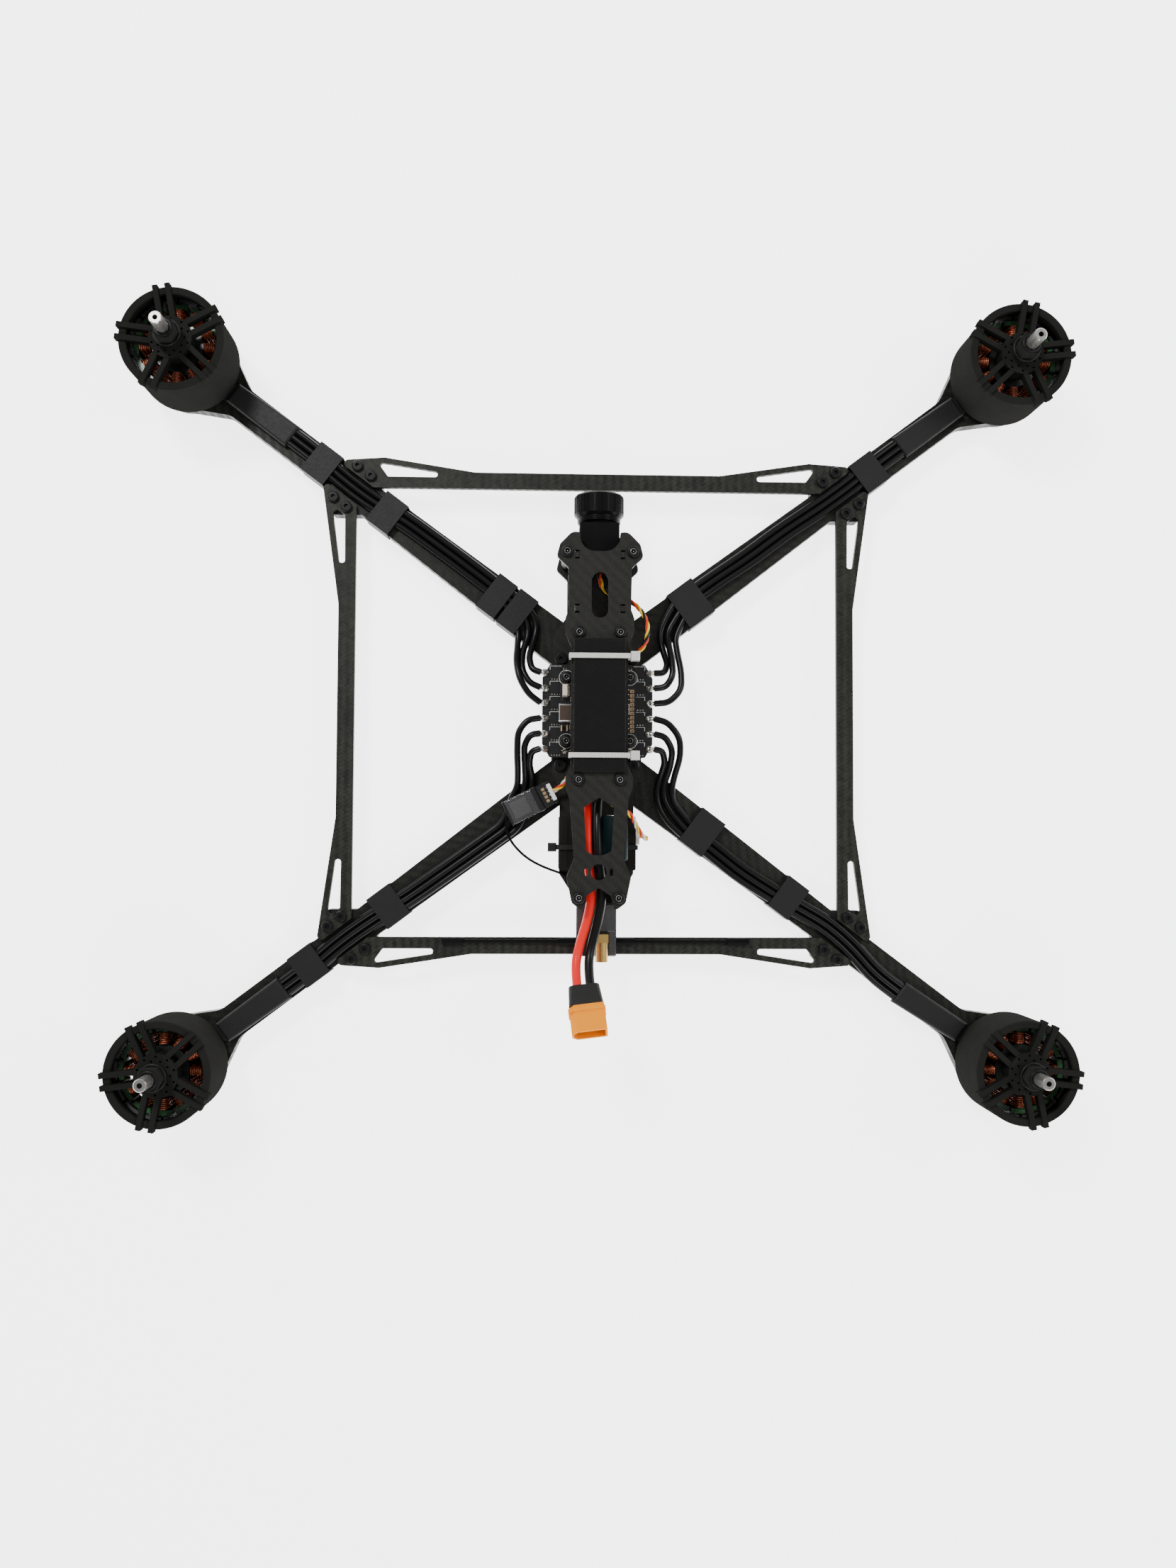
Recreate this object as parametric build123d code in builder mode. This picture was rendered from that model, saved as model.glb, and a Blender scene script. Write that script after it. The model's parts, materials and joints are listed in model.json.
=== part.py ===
from build123d import *
import math
import os

# Large X-frame quadcopter: four outrunner motors, carbon frame, control stack, camera and wiring.
# Millimetres, +Z up, +Y to the front, +X to the right. The origin is on the ground under the
# middle of the control stack, which is also the middle of the whole outline.

os.makedirs("parts", exist_ok=True)

# ---- levels -------------------------------------------------------------------------------
NUT_H = 2.0                      # nuts and heads that the craft stands on
PLATE = 2.5                      # carbon body plates
ARM_T = 7.0                      # carbon arms
BOTTOM_Z = NUT_H
ARM_Z = BOTTOM_Z + PLATE
MID_Z = ARM_Z + ARM_T            # mid plate, braces and motors sit on the arms here
DECK_Z = MID_Z + PLATE           # top face of the mid plate
TOP_Z = 42.0                     # underside of the top plate
ROOF_Z = TOP_Z + PLATE
STANDOFF_H = TOP_Z - DECK_Z

# ---- arms ---------------------------------------------------------------------------------
ARM_COS, ARM_SIN = 0.8, 0.6      # direction of the front right arm
ARM_OFFSET = 15.72               # distance of an arm's centre line from the origin
ARM_HALF = 8.0                   # half width along the outer arm
ROOT_HALF = 10.0                 # half width at the root
ARM_GAP = 0.25                   # each arm ends this far from the middle plane
MOTOR_S = 262.6                  # motor axis, measured along the arm
NECK_S = 232.0
PAD_R = 22.0                     # round motor pad

CORNERS = {"front_left": (-1, 1), "front_right": (1, 1), "rear_left": (-1, -1), "rear_right": (1, -1)}


def on_arm(s, t):
    """Point at distance s along the front right arm and t to its left."""
    reach = t + ARM_OFFSET
    return (ARM_COS * s - ARM_SIN * reach, ARM_SIN * s + ARM_COS * reach)


def flip(points, sx, sy):
    """Points of the front right quarter, mirrored to another quarter."""
    return [(sx * p[0], sy * p[1], *p[2:]) for p in points]


def mirror_x(half):
    """Closed outline from its right half, given from front to rear."""
    return half + [(-x, y, r) for x, y, r in reversed(half)]


def mirror_y(half):
    """Closed outline from its front half, given from one side to the other."""
    return half + [(x, -y, r) for x, y, r in reversed(half)]


def rounded(corners):
    """Closed outline through (x, y, radius) corners."""
    points = [(x, y) for x, y, r in corners]
    FilletPolyline(*points, radius=[r for x, y, r in corners], close=True)


MOTOR_XY = on_arm(MOTOR_S, 0)
MOTORS = {name: (sx * MOTOR_XY[0], sy * MOTOR_XY[1]) for name, (sx, sy) in CORNERS.items()}

# ---- fasteners ----------------------------------------------------------------------------
M3_R = 1.5                       # M3 shank
M3_HOLE = 1.6
M3_HEAD_R = 2.75
M3_HEAD_H = 1.8
M3_SOCKET = 2.0                  # hexagon socket across flats
SOCKET_DEEP = 1.1
M3_NUT = 5.5                     # nut across flats
BOLT_HEAD_R = 3.1                # the four large root bolts
STACK_PITCH = 30.5
STACK_XY = STACK_PITCH / 2

STANDOFF_XY = [(15.4, 72.3), (9.6, 34.4), (9.6, -34.4), (9.2, -89.2)]
CLAMP_XY = (9.6, 34.4)           # standoffs whose bolts also clamp the arm roots
ROOT_XY = (17.7, 26.1)           # root bolts
BRACE_SCREW_ST = [(166.6, 9.7), (158.6, 9.7), (166.6, -9.7), (158.6, -9.7)]
MOTOR_SCREW_R = 12.5
MOTOR_SCREW_TURN = 45 + math.degrees(math.atan2(ARM_SIN, ARM_COS))


def both_sides(points):
    """Each point and its mirror image across the middle plane."""
    return [(sx * x, y) for x, y in points for sx in (-1, 1)]


def four_ways(x, y):
    """A point in all four quarters."""
    return [(sx * x, sy * y) for sx, sy in CORNERS.values()]


def motor_screw_points(name):
    """The four screw positions under one motor."""
    sx, sy = CORNERS[name]
    turns = [math.radians(MOTOR_SCREW_TURN + 90 * k) for k in range(4)]
    x, y = MOTOR_XY
    return [(sx * (x + MOTOR_SCREW_R * math.cos(a)), sy * (y + MOTOR_SCREW_R * math.sin(a))) for a in turns]


# ---- body plates --------------------------------------------------------------------------
HEAD = [  # the rounded head round the front standoffs, with the notch for the camera
    (9.4, 72.6, 7.2), (9.4, 81.4, 0.8), (13.0, 81.8, 4.0), (18.8, 75.9, 3.0), (20.3, 70.0, 2.5),
    (14.9, 64.8, 1.5),
]
SIDE_PLATE_X = 10.7              # middle of each camera side plate
SIDE_PLATE_T = 2.0
TAB_Y = (71.0, 45.6)             # tabs of the side plates
TAB_LONG = 2.6
TAB_SLOT = (2.2, 4.2)            # the slots are longer than the tabs

with BuildPart() as bottom_plate:
    with BuildSketch(Plane.XY.offset(BOTTOM_Z)):
        with BuildLine():
            rounded(mirror_x([(14.0, 41.5, 4.0), (22.2, 32.0, 4.0), (22.2, -32.0, 4.0), (14.0, -41.5, 4.0)]))
        make_face()
        with Locations(*four_ways(*CLAMP_XY), *four_ways(*ROOT_XY), *four_ways(STACK_XY, STACK_XY)):
            Circle(M3_HOLE, mode=Mode.SUBTRACT)
        SlotOverall(16, 5, mode=Mode.SUBTRACT)
    extrude(amount=PLATE)
bottom_plate.part.label = "bottom_plate"
export_step(bottom_plate.part, "parts/bottom_plate.step")

with BuildPart() as mid_plate:
    with BuildSketch(Plane.XY.offset(MID_Z)):
        with BuildLine():
            rounded(mirror_x(HEAD + [
                (14.9, 46.8, 2.0), (21.8, 37.5, 3.0), (21.8, -31.0, 3.0), (18.1, -37.0, 2.0),
                (18.1, -79.0, 2.0), (12.6, -87.5, 2.0), (11.9, -92.0, 1.5), (9.6, -94.5, 1.5),
         (9.6, -108.0, 1.5),
            ]))
        make_face()
        with Locations(*four_ways(*ROOT_XY), *four_ways(STACK_XY, STACK_XY), *both_sides(STANDOFF_XY)):
            Circle(M3_HOLE, mode=Mode.SUBTRACT)
        with Locations(*both_sides([(SIDE_PLATE_X, y) for y in TAB_Y])):
            Rectangle(*TAB_SLOT, mode=Mode.SUBTRACT)
    extrude(amount=PLATE)
mid_plate.part.label = "mid_plate"
export_step(mid_plate.part, "parts/mid_plate.step")

ROUND_HOLE_Y = -77.3
ROUND_HOLE_R = 3.7
PAD_HALF = 12.1                  # battery pad
PAD_FRONT, PAD_REAR = 31.4, -30.7
PAD_T = 3.0
STRIP_HALF = 13.3                # the plate's narrow middle under the pad

with BuildPart() as top_plate:
    with BuildSketch(Plane.XY.offset(TOP_Z)):
        with BuildLine():
            rounded(mirror_x(HEAD + [
                (14.6, 45.0, 3.0), (16.1, 41.0, 2.0), (16.1, 34.0, 3.0), (STRIP_HALF, 27.5, 2.0),
                (STRIP_HALF, -27.5, 2.0), (15.7, -33.0, 3.0), (15.7, -38.0, 2.5), (13.7, -43.5, 4.0),
                (11.5, -71.0, 4.0), (15.0, -79.5, 2.5), (12.5, -91.5, 2.5), (8.6, -94.4, 1.5),
                (7.3, -94.4, 0.6), (5.6, -88.2, 1.0), (0.6, -84.8, 0.4),
            ]))
        make_face()
        with Locations(*both_sides(STANDOFF_XY)):
            Circle(M3_HOLE, mode=Mode.SUBTRACT)
        with Locations(*both_sides([(SIDE_PLATE_X, y) for y in TAB_Y])):
            Rectangle(*TAB_SLOT, mode=Mode.SUBTRACT)
        with Locations((0, 52.0)):
            SlotOverall(21.5, 7.8, rotation=90, mode=Mode.SUBTRACT)
        with BuildLine():
            rounded([(0.2, -42.7, 0.6), (7.0, -47.4, 0.8), (5.8, -67.6, 0.8), (2.0, -69.4, 1.5),
                     (-2.4, -69.4, 1.5), (-5.8, -67.6, 0.8), (-7.0, -47.2, 0.8)])
        make_face(mode=Mode.SUBTRACT)
        with Locations((0, ROUND_HOLE_Y)):
            Circle(ROUND_HOLE_R, mode=Mode.SUBTRACT)
        with Locations((-5.8, ROUND_HOLE_Y), (5.8, ROUND_HOLE_Y)):
            SlotOverall(3.5, 1.7, rotation=90, mode=Mode.SUBTRACT)
    extrude(amount=PLATE)
top_plate.part.label = "top_plate"
export_step(top_plate.part, "parts/top_plate.step")

# ---- arms ---------------------------------------------------------------------------------
SHAFT_RELIEF_R = 6.0
root_low = (ARM_GAP, (ARM_OFFSET - ROOT_HALF + ARM_SIN * ARM_GAP) / ARM_COS)
root_high = (ARM_GAP, (ARM_OFFSET + ROOT_HALF + ARM_SIN * ARM_GAP) / ARM_COS)
neck_wide = PAD_R * 0.78
neck_end = MOTOR_S - PAD_R * 0.62
arm_outline = [
    (*root_low, 0), (*on_arm(40, -ROOT_HALF), 0),
    (116.0, 96.7, 1.0), (130.0, 96.7, 2.0), (133.0, 100.5, 2.0), (134.0, 110.1, 0),
    (*on_arm(NECK_S, -ARM_HALF), 9.0), (*on_arm(neck_end, -neck_wide), 0),
    (*on_arm(neck_end, neck_wide), 0), (*on_arm(NECK_S, ARM_HALF), 9.0),
    (123.7, 122.4, 0), (109.6, 122.4, 2.0), (106.4, 119.4, 2.0), (106.4, 109.5, 1.0),
    (*on_arm(40, ROOT_HALF), 0), (*root_high, 0),
]
for corner, (sx, sy) in CORNERS.items():
    with BuildPart() as arm:
        with BuildSketch(Plane.XY.offset(ARM_Z)):
            with BuildLine():
                rounded(flip(arm_outline, sx, sy))
            make_face()
            with Locations(MOTORS[corner]):
                Circle(PAD_R)
                Circle(SHAFT_RELIEF_R, mode=Mode.SUBTRACT)
            brace_holes = flip([on_arm(s, t) for s, t in BRACE_SCREW_ST], sx, sy)
            root_holes = flip([ROOT_XY, CLAMP_XY], sx, sy)
            with Locations(*brace_holes, *root_holes, *motor_screw_points(corner)):
                Circle(M3_HOLE, mode=Mode.SUBTRACT)
        extrude(amount=ARM_T)
    arm.part.label = f"arm_{corner}"
    export_step(arm.part, f"parts/arm_{corner}.step")

# ---- braces -------------------------------------------------------------------------------
BRACE_INNER_Y = 109.9
SIDE_INNER_X = 118.4
long_half = [(110.3, BRACE_INNER_Y, 1.0), (128.1, 123.2, 2.0), (104.8, 124.8, 3.0), (60.4, 118.0, 6.0)]
long_hole = [(108.4, 122.6, 1.2), (103.3, 115.4, 1.2), (79.0, 115.4, 1.2), (79.0, 118.1, 1.2)]
side_half = [(SIDE_INNER_X, 100.9, 1.0), (135.3, 113.7, 2.0), (126.6, 52.0, 6.0)]
side_hole = [
    (129.9, 97.5, 1.0), (128.1, 98.9, 1.0), (123.9, 96.0, 1.0), (123.7, 72.4, 1.3), (126.6, 72.4, 1.3),
]

for name, sy in (("front", 1), ("rear", -1)):
    with BuildPart() as long_brace:
        with BuildSketch(Plane.XY.offset(MID_Z)):
            with BuildLine():
                rounded(flip(mirror_x(long_half), 1, sy))
            make_face()
            for sx in (-1, 1):
                with BuildLine():
                    rounded(flip(long_hole, sx, sy))
                make_face(mode=Mode.SUBTRACT)
                with Locations(*flip([on_arm(s, t) for s, t in BRACE_SCREW_ST[:2]], sx, sy)):
                    Circle(M3_HOLE, mode=Mode.SUBTRACT)
        extrude(amount=PLATE)
    long_brace.part.label = f"brace_{name}"
    export_step(long_brace.part, f"parts/brace_{name}.step")

for name, sx in (("left", -1), ("right", 1)):
    with BuildPart() as side_brace:
        with BuildSketch(Plane.XY.offset(MID_Z)):
            with BuildLine():
                rounded(flip(mirror_y(side_half), sx, 1))
            make_face()
            for sy in (-1, 1):
                with BuildLine():
                    rounded(flip(side_hole, sx, sy))
                make_face(mode=Mode.SUBTRACT)
                with Locations(*flip([on_arm(s, t) for s, t in BRACE_SCREW_ST[2:]], sx, sy)):
                    Circle(M3_HOLE, mode=Mode.SUBTRACT)
        extrude(amount=PLATE)
    side_brace.part.label = f"brace_{name}"
    export_step(side_brace.part, f"parts/brace_{name}.step")

# ---- standoffs and fasteners --------------------------------------------------------------
STANDOFF_R = 2.5
STANDOFF_BORE = 1.55
SCREW_IN = 6.0                   # how far a screw reaches into a standoff

with BuildPart() as standoffs:
    with BuildSketch(Plane.XY.offset(DECK_Z)):
        with Locations(*both_sides(STANDOFF_XY)):
            Circle(STANDOFF_R)
            Circle(STANDOFF_BORE, mode=Mode.SUBTRACT)
    extrude(amount=STANDOFF_H)
standoffs.part.label = "standoffs"
export_step(standoffs.part, "parts/standoffs.step")


def screws(points, seat_z, tip_z, head_r=M3_HEAD_R, head_h=M3_HEAD_H, shank_r=M3_R):
    """Socket screws at the points: each head starts at seat_z, on the side away from tip_z."""
    up = 1 if seat_z > tip_z else -1
    crown = seat_z + up * head_h
    with BuildPart() as screw_set:
        with BuildSketch(Plane.XY.offset(seat_z)):
            with Locations(*points):
                Circle(head_r)
        extrude(amount=up * head_h)
        rims = screw_set.edges().filter_by(GeomType.CIRCLE).filter_by_position(Axis.Z, crown, crown)
        fillet(rims, head_h * 0.4)
        with BuildSketch(Plane.XY.offset(crown)):
            with Locations(*points):
                RegularPolygon(M3_SOCKET / 2, 6, major_radius=False)
        extrude(amount=-up * SOCKET_DEEP, mode=Mode.SUBTRACT)
        with BuildSketch(Plane.XY.offset(seat_z)):
            with Locations(*points):
                Circle(shank_r)
        extrude(amount=tip_z - seat_z)
    return screw_set.solids()


def nuts(points, z, height, across=M3_NUT, bore=M3_R):
    """Hexagon nuts whose lower faces are at z."""
    with BuildPart() as nut_set:
        with BuildSketch(Plane.XY.offset(z)):
            with Locations(*points):
                RegularPolygon(across / 2, 6, major_radius=False)
                Circle(bore, mode=Mode.SUBTRACT)
        extrude(amount=height)
    return nut_set.solids()


def export_group(label, solids):
    """One node of separate solids."""
    export_step(Compound(label=label, children=list(solids)), f"parts/{label}.step")


export_group("top_plate_screws", screws(both_sides(STANDOFF_XY), ROOF_Z, TOP_Z - SCREW_IN))

SHANK_RAISE = 0.3                # shanks end this far above the ground
END_BOLTS = [STANDOFF_XY[0], STANDOFF_XY[3]]
clamp_bolts = screws(four_ways(*CLAMP_XY), BOTTOM_Z, DECK_Z + SCREW_IN, head_h=NUT_H)
end_bolts = screws(both_sides(END_BOLTS), MID_Z, DECK_Z + SCREW_IN)
root_bolts = screws(four_ways(*ROOT_XY), DECK_Z, SHANK_RAISE, head_r=BOLT_HEAD_R)
root_nuts = nuts(four_ways(*ROOT_XY), 0, NUT_H)
export_group("frame_bolts", [*clamp_bolts, *end_bolts, *root_bolts, *root_nuts])

THREAD_SHOWN = 0.2               # screw thread that stands out of its nut
BRACE_SCREW_TIP = ARM_Z - NUT_H - THREAD_SHOWN
brace_points = [on_arm(s, t) for s, t in BRACE_SCREW_ST]
all_brace_points = [p for signs in CORNERS.values() for p in flip(brace_points, *signs)]
brace_bolts = screws(all_brace_points, DECK_Z, BRACE_SCREW_TIP)
brace_nuts = nuts(all_brace_points, ARM_Z - NUT_H, NUT_H)
export_group("brace_screws", [*brace_bolts, *brace_nuts])

BASE_T = 2.1                     # motor base flange
all_motor_points = [p for name in CORNERS for p in motor_screw_points(name)]
export_group("motor_screws", screws(all_motor_points, ARM_Z, MID_Z + BASE_T))

# ---- motors -------------------------------------------------------------------------------
BASE_R = 21.0
BASE_HOLE_AT = 15.6              # vent holes of the base flange
BASE_HOLE_R = 3.0
TUBE_R = 9.0                     # bearing tube of the base
TUBE_BORE = 7.0
TUBE_TOP = 37.5
SHAFT_R = 3.0
BEARING_BORE = 3.03
BEARING_H = 5.0
BEARING_Z = (15.0, 32.0)
SHAFT_FOOT = 13.8
SHAFT_TIP = 67.0
TIP_HOLE_R = 1.2
TIP_HOLE_DEEP = 8.0
TEETH = 12
CORE_Z, CORE_TOP = 17.5, 33.5
CORE_R = 20.6
YOKE_R = 12.0
TIP_R = 18.4                     # inner radius of the tooth tips
TOOTH_W = 2.6
SLOT_GAP = 1.8
COIL_Z, COIL_TOP = 15.6, 35.4
BELL_R = 24.5
BELL_WALL_R = 22.9
BELL_Z = 14.2
RING_TOP = 44.0
RING_T = 3.4
RING_INNER_R = 20.8
HUB_R = 10.0
HUB_Z, HUB_TOP = 38.5, 45.6
COLLAR_R, COLLAR_TOP = 5.4, 51.0 # round step of the hub that the nut sits on
SPOKE_W = 2.5
SPOKE_PITCH = 5.8                # between the two spokes of a pair
SPOKE_PAIRS = 5
SPOKE_Z, SPOKE_TOP = 41.2, 45.3
SPOKE_REACH = 25.6
BELL_TURN = 29.0                 # rest angle of the first spoke pair
NUT_AF = 10.0
NUT_T = 5.6
RELIEF_R, RELIEF_H = 2.6, 0.7    # groove of the shaft above the nut

with BuildPart() as motor_bases:
    for name, (x, y) in MOTORS.items():
        arm_turn = math.degrees(math.atan2(y - math.copysign(ARM_OFFSET / ARM_COS, y), x))
        with BuildSketch(Plane.XY.offset(MID_Z)):
            with Locations((x, y)):
                Circle(BASE_R)
                Circle(TUBE_BORE, mode=Mode.SUBTRACT)
                with PolarLocations(BASE_HOLE_AT, 4, start_angle=arm_turn):
                    Circle(BASE_HOLE_R, mode=Mode.SUBTRACT)
            with Locations(*motor_screw_points(name)):
                Circle(M3_R, mode=Mode.SUBTRACT)
        extrude(amount=BASE_T)
        with BuildSketch(Plane.XY.offset(MID_Z)):
            with Locations((x, y)):
                Circle(TUBE_R)
                Circle(TUBE_BORE, mode=Mode.SUBTRACT)
        extrude(amount=TUBE_TOP - MID_Z)
motor_bases.part.label = "motor_bases"
export_step(motor_bases.part, "parts/motor_bases.step")

with BuildPart() as stator_core:
    with BuildSketch(Plane.XY.offset(CORE_Z)):
        Circle(CORE_R)
        Circle(TIP_R, mode=Mode.SUBTRACT)
        with PolarLocations(CORE_R, TEETH, start_angle=180 / TEETH):
            Rectangle(8, SLOT_GAP, mode=Mode.SUBTRACT)
        with PolarLocations((YOKE_R + TIP_R) / 2, TEETH):
            Rectangle(TIP_R - YOKE_R + 1, TOOTH_W)
        Circle(YOKE_R)
        Circle(TUBE_R, mode=Mode.SUBTRACT)
    extrude(amount=CORE_TOP - CORE_Z)

COIL_IN, COIL_OUT = 12.4, 18.0
COIL_MID = (COIL_IN + COIL_OUT) / 2
COIL_W = 4.8
with BuildPart() as coil_ring:
    with BuildSketch(Plane.XY.offset(COIL_Z)):
        with PolarLocations(COIL_MID, TEETH):
            Rectangle(COIL_OUT - COIL_IN, COIL_W)
    extrude(amount=COIL_TOP - COIL_Z)
    fillet(coil_ring.edges().group_by(Axis.Z)[-1], 0.8)
    with Locations((0, 0, (CORE_Z + CORE_TOP) / 2)):
        with PolarLocations(COIL_MID, TEETH):
            Box(COIL_OUT - COIL_IN + 1, TOOTH_W, CORE_TOP - CORE_Z, mode=Mode.SUBTRACT)

with BuildPart() as bearing_pair:
    for z in BEARING_Z:
        with BuildSketch(Plane.XY.offset(z)):
            Circle(TUBE_BORE)
            Circle(BEARING_BORE, mode=Mode.SUBTRACT)
        extrude(amount=BEARING_H)


def at_motors(pieces):
    """Copies of pieces made on the Z axis, one set at each motor."""
    return [piece.moved(Location((x, y, 0))) for x, y in MOTORS.values() for piece in pieces]


export_group("stator_cores", at_motors(stator_core.solids()))
export_group("motor_windings", at_motors(coil_ring.solids()))
export_group("motor_bearings", at_motors(bearing_pair.solids()))

SPOKE_ROOT = 4.0
SPOKE_MID = (SPOKE_ROOT + SPOKE_REACH) / 2
HUB_HOLES = 10
HUB_HOLE_AT, HUB_HOLE_R = (6.7, 8.7), 0.55
HUB_HOLE_DEEP = 1.5

for corner, (sx, sy) in CORNERS.items():
    x, y = MOTORS[corner]
    with BuildPart() as bell:
        with BuildSketch(Plane.XY.offset(BELL_Z)):
            with Locations((x, y)):
                Circle(BELL_R)
                Circle(BELL_WALL_R, mode=Mode.SUBTRACT)
        extrude(amount=RING_TOP - BELL_Z)
        with BuildSketch(Plane.XY.offset(RING_TOP - RING_T)):
            with Locations((x, y)):
                Circle(BELL_R)
                Circle(RING_INNER_R, mode=Mode.SUBTRACT)
        extrude(amount=RING_T)
        chamfer(bell.edges().group_by(Axis.Z)[-1], 0.5)
        for radius, top in ((HUB_R, HUB_TOP), (COLLAR_R, COLLAR_TOP)):
            with BuildSketch(Plane.XY.offset(HUB_Z)):
                with Locations((x, y)):
                    Circle(radius)
            extrude(amount=top - HUB_Z)
        with BuildSketch(Plane.XY.offset(SPOKE_Z)):
            for k in range(SPOKE_PAIRS):
                turn = math.radians(BELL_TURN + 360 / SPOKE_PAIRS * k)
                dx, dy = -sx * math.cos(turn), sy * math.sin(turn)
                place = Location((x + SPOKE_MID * dx, y + SPOKE_MID * dy), math.degrees(math.atan2(dy, dx)))
                with Locations(place):
                    with GridLocations(0, SPOKE_PITCH, 1, 2):
                        Rectangle(SPOKE_REACH - SPOKE_ROOT, SPOKE_W)
        extrude(amount=SPOKE_TOP - SPOKE_Z)
        with BuildSketch(Plane.XY.offset(COLLAR_TOP)):
            with Locations((x, y)):
                Circle(SHAFT_R)
        extrude(amount=HUB_Z - COLLAR_TOP, mode=Mode.SUBTRACT)
        with BuildSketch(Plane.XY.offset(HUB_TOP)):
            with Locations((x, y)):
                for ring, at in enumerate(HUB_HOLE_AT):
                    with PolarLocations(at, HUB_HOLES, start_angle=180 / HUB_HOLES * ring):
                        Circle(HUB_HOLE_R)
        extrude(amount=-HUB_HOLE_DEEP, mode=Mode.SUBTRACT)
    hub_nut = nuts([(x, y)], COLLAR_TOP, NUT_T, NUT_AF, SHAFT_R)
    export_group(f"bell_{corner}", [*bell.solids(), *hub_nut])

    with BuildPart() as prop_shaft:
        with BuildSketch(Plane.XY.offset(SHAFT_FOOT)):
            with Locations((x, y)):
                Circle(SHAFT_R)
        extrude(amount=SHAFT_TIP - SHAFT_FOOT)
        chamfer(prop_shaft.edges().group_by(Axis.Z)[-1], 0.4)
        with BuildSketch(Plane.XY.offset(COLLAR_TOP + NUT_T)):
            with Locations((x, y)):
                Circle(SHAFT_R)
                Circle(RELIEF_R, mode=Mode.SUBTRACT)
        extrude(amount=RELIEF_H, mode=Mode.SUBTRACT)
        with BuildSketch(Plane.XY.offset(SHAFT_TIP)):
            with Locations((x, y)):
                Circle(TIP_HOLE_R)
        extrude(amount=-TIP_HOLE_DEEP, mode=Mode.SUBTRACT)
    prop_shaft.part.label = f"prop_shaft_{corner}"
    export_step(prop_shaft.part, f"parts/prop_shaft_{corner}.step")

# ---- camera -------------------------------------------------------------------------------
PIVOT_Y, PIVOT_Z = 77.5, 28.0    # tilt axis
CAM_HALF = 9.5
CAM_REAR, CAM_FRONT = 70.0, 88.0
PIN_R = 1.0                      # camera side screws
PIN_HOLE = 1.05
PIN_DEEP = 3.5
PIN_HEAD_R = 1.9
PIN_HEAD_H = 1.6
HEAD_GAP = 0.1
side_inner = SIDE_PLATE_X - SIDE_PLATE_T / 2
side_outer = SIDE_PLATE_X + SIDE_PLATE_T / 2

with BuildPart() as side_plate:
    with BuildSketch(Plane.YZ.offset(side_inner)):
        with BuildLine():
            rounded([(43.0, DECK_Z, 0), (77.0, DECK_Z, 0), (81.5, 20.0, 3.0), (81.5, 36.0, 3.0),
                     (77.0, TOP_Z, 0), (43.0, TOP_Z, 0)])
        make_face()
        for y in TAB_Y:
            with Locations((y, (MID_Z + ROOF_Z) / 2)):
                Rectangle(TAB_LONG, ROOF_Z - MID_Z)
        with BuildLine():
            rounded([(48.5, 19.0, 3.0), (67.0, 19.0, 3.0), (67.0, 37.0, 3.0), (48.5, 37.0, 3.0)])
        make_face(mode=Mode.SUBTRACT)
        with Locations((PIVOT_Y, PIVOT_Z)):
            Circle(PIN_HOLE, mode=Mode.SUBTRACT)
    extrude(amount=SIDE_PLATE_T)
other_plate = side_plate.part.mirror(Plane.YZ)
export_group("camera_side_plates", [*side_plate.solids(), *other_plate.solids()])

LENS_R = 6.0
LENS_BORE = 6.05
LENS_CLEAR = 0.5                 # behind the lens, inside its bore
MOUNT_R = 8.4
BARREL_GAP = 0.1                 # between the camera's mount and the lens barrel
HOOD_BEVEL = 1.2
LIP = 0.8
MOUNT_FRONT = 89.4
BARREL_R = 10.2
BARREL_FRONT = 92.0
HOOD_R = 11.8
HOOD_FRONT = 102.8
GLASS_R = 8.8
GLASS_DEEP = 2.2
LENS_REAR = 79.0
CAM_PLUG_W, CAM_PLUG_H = 7.0, 4.0
CAM_PLUG_REAR = 66.0             # rear of the plug in the camera's back
PIN_STUB = 0.5                   # how far a side screw's shank runs into its head

with BuildPart() as camera_housing:
    with BuildSketch(Plane.XZ.offset(-CAM_REAR)):
        with Locations((0, PIVOT_Z)):
            RectangleRounded(CAM_HALF * 2, CAM_HALF * 2, 1.2)
    extrude(amount=CAM_REAR - CAM_FRONT)
    with BuildSketch(Plane.XZ.offset(-CAM_FRONT)):
        with Locations((0, PIVOT_Z)):
            Circle(MOUNT_R)
    extrude(amount=CAM_FRONT - MOUNT_FRONT)
    with BuildSketch(Plane.XZ.offset(-MOUNT_FRONT)):
        with Locations((0, PIVOT_Z)):
            Circle(LENS_BORE)
    extrude(amount=MOUNT_FRONT - LENS_REAR + LENS_CLEAR, mode=Mode.SUBTRACT)
    for side in (-1, 1):
        with BuildSketch(Plane.YZ.offset(side * CAM_HALF)):
            with Locations((PIVOT_Y, PIVOT_Z)):
                Circle(PIN_R)
        extrude(amount=-side * PIN_DEEP, mode=Mode.SUBTRACT)
    with BuildSketch(Plane.XZ.offset(-CAM_PLUG_REAR)):
        with Locations((0, PIVOT_Z)):
            Rectangle(CAM_PLUG_W, CAM_PLUG_H)
    extrude(amount=CAM_PLUG_REAR - CAM_REAR)
camera_housing.part.label = "camera_housing"
export_step(camera_housing.part, "parts/camera_housing.step")

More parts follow.
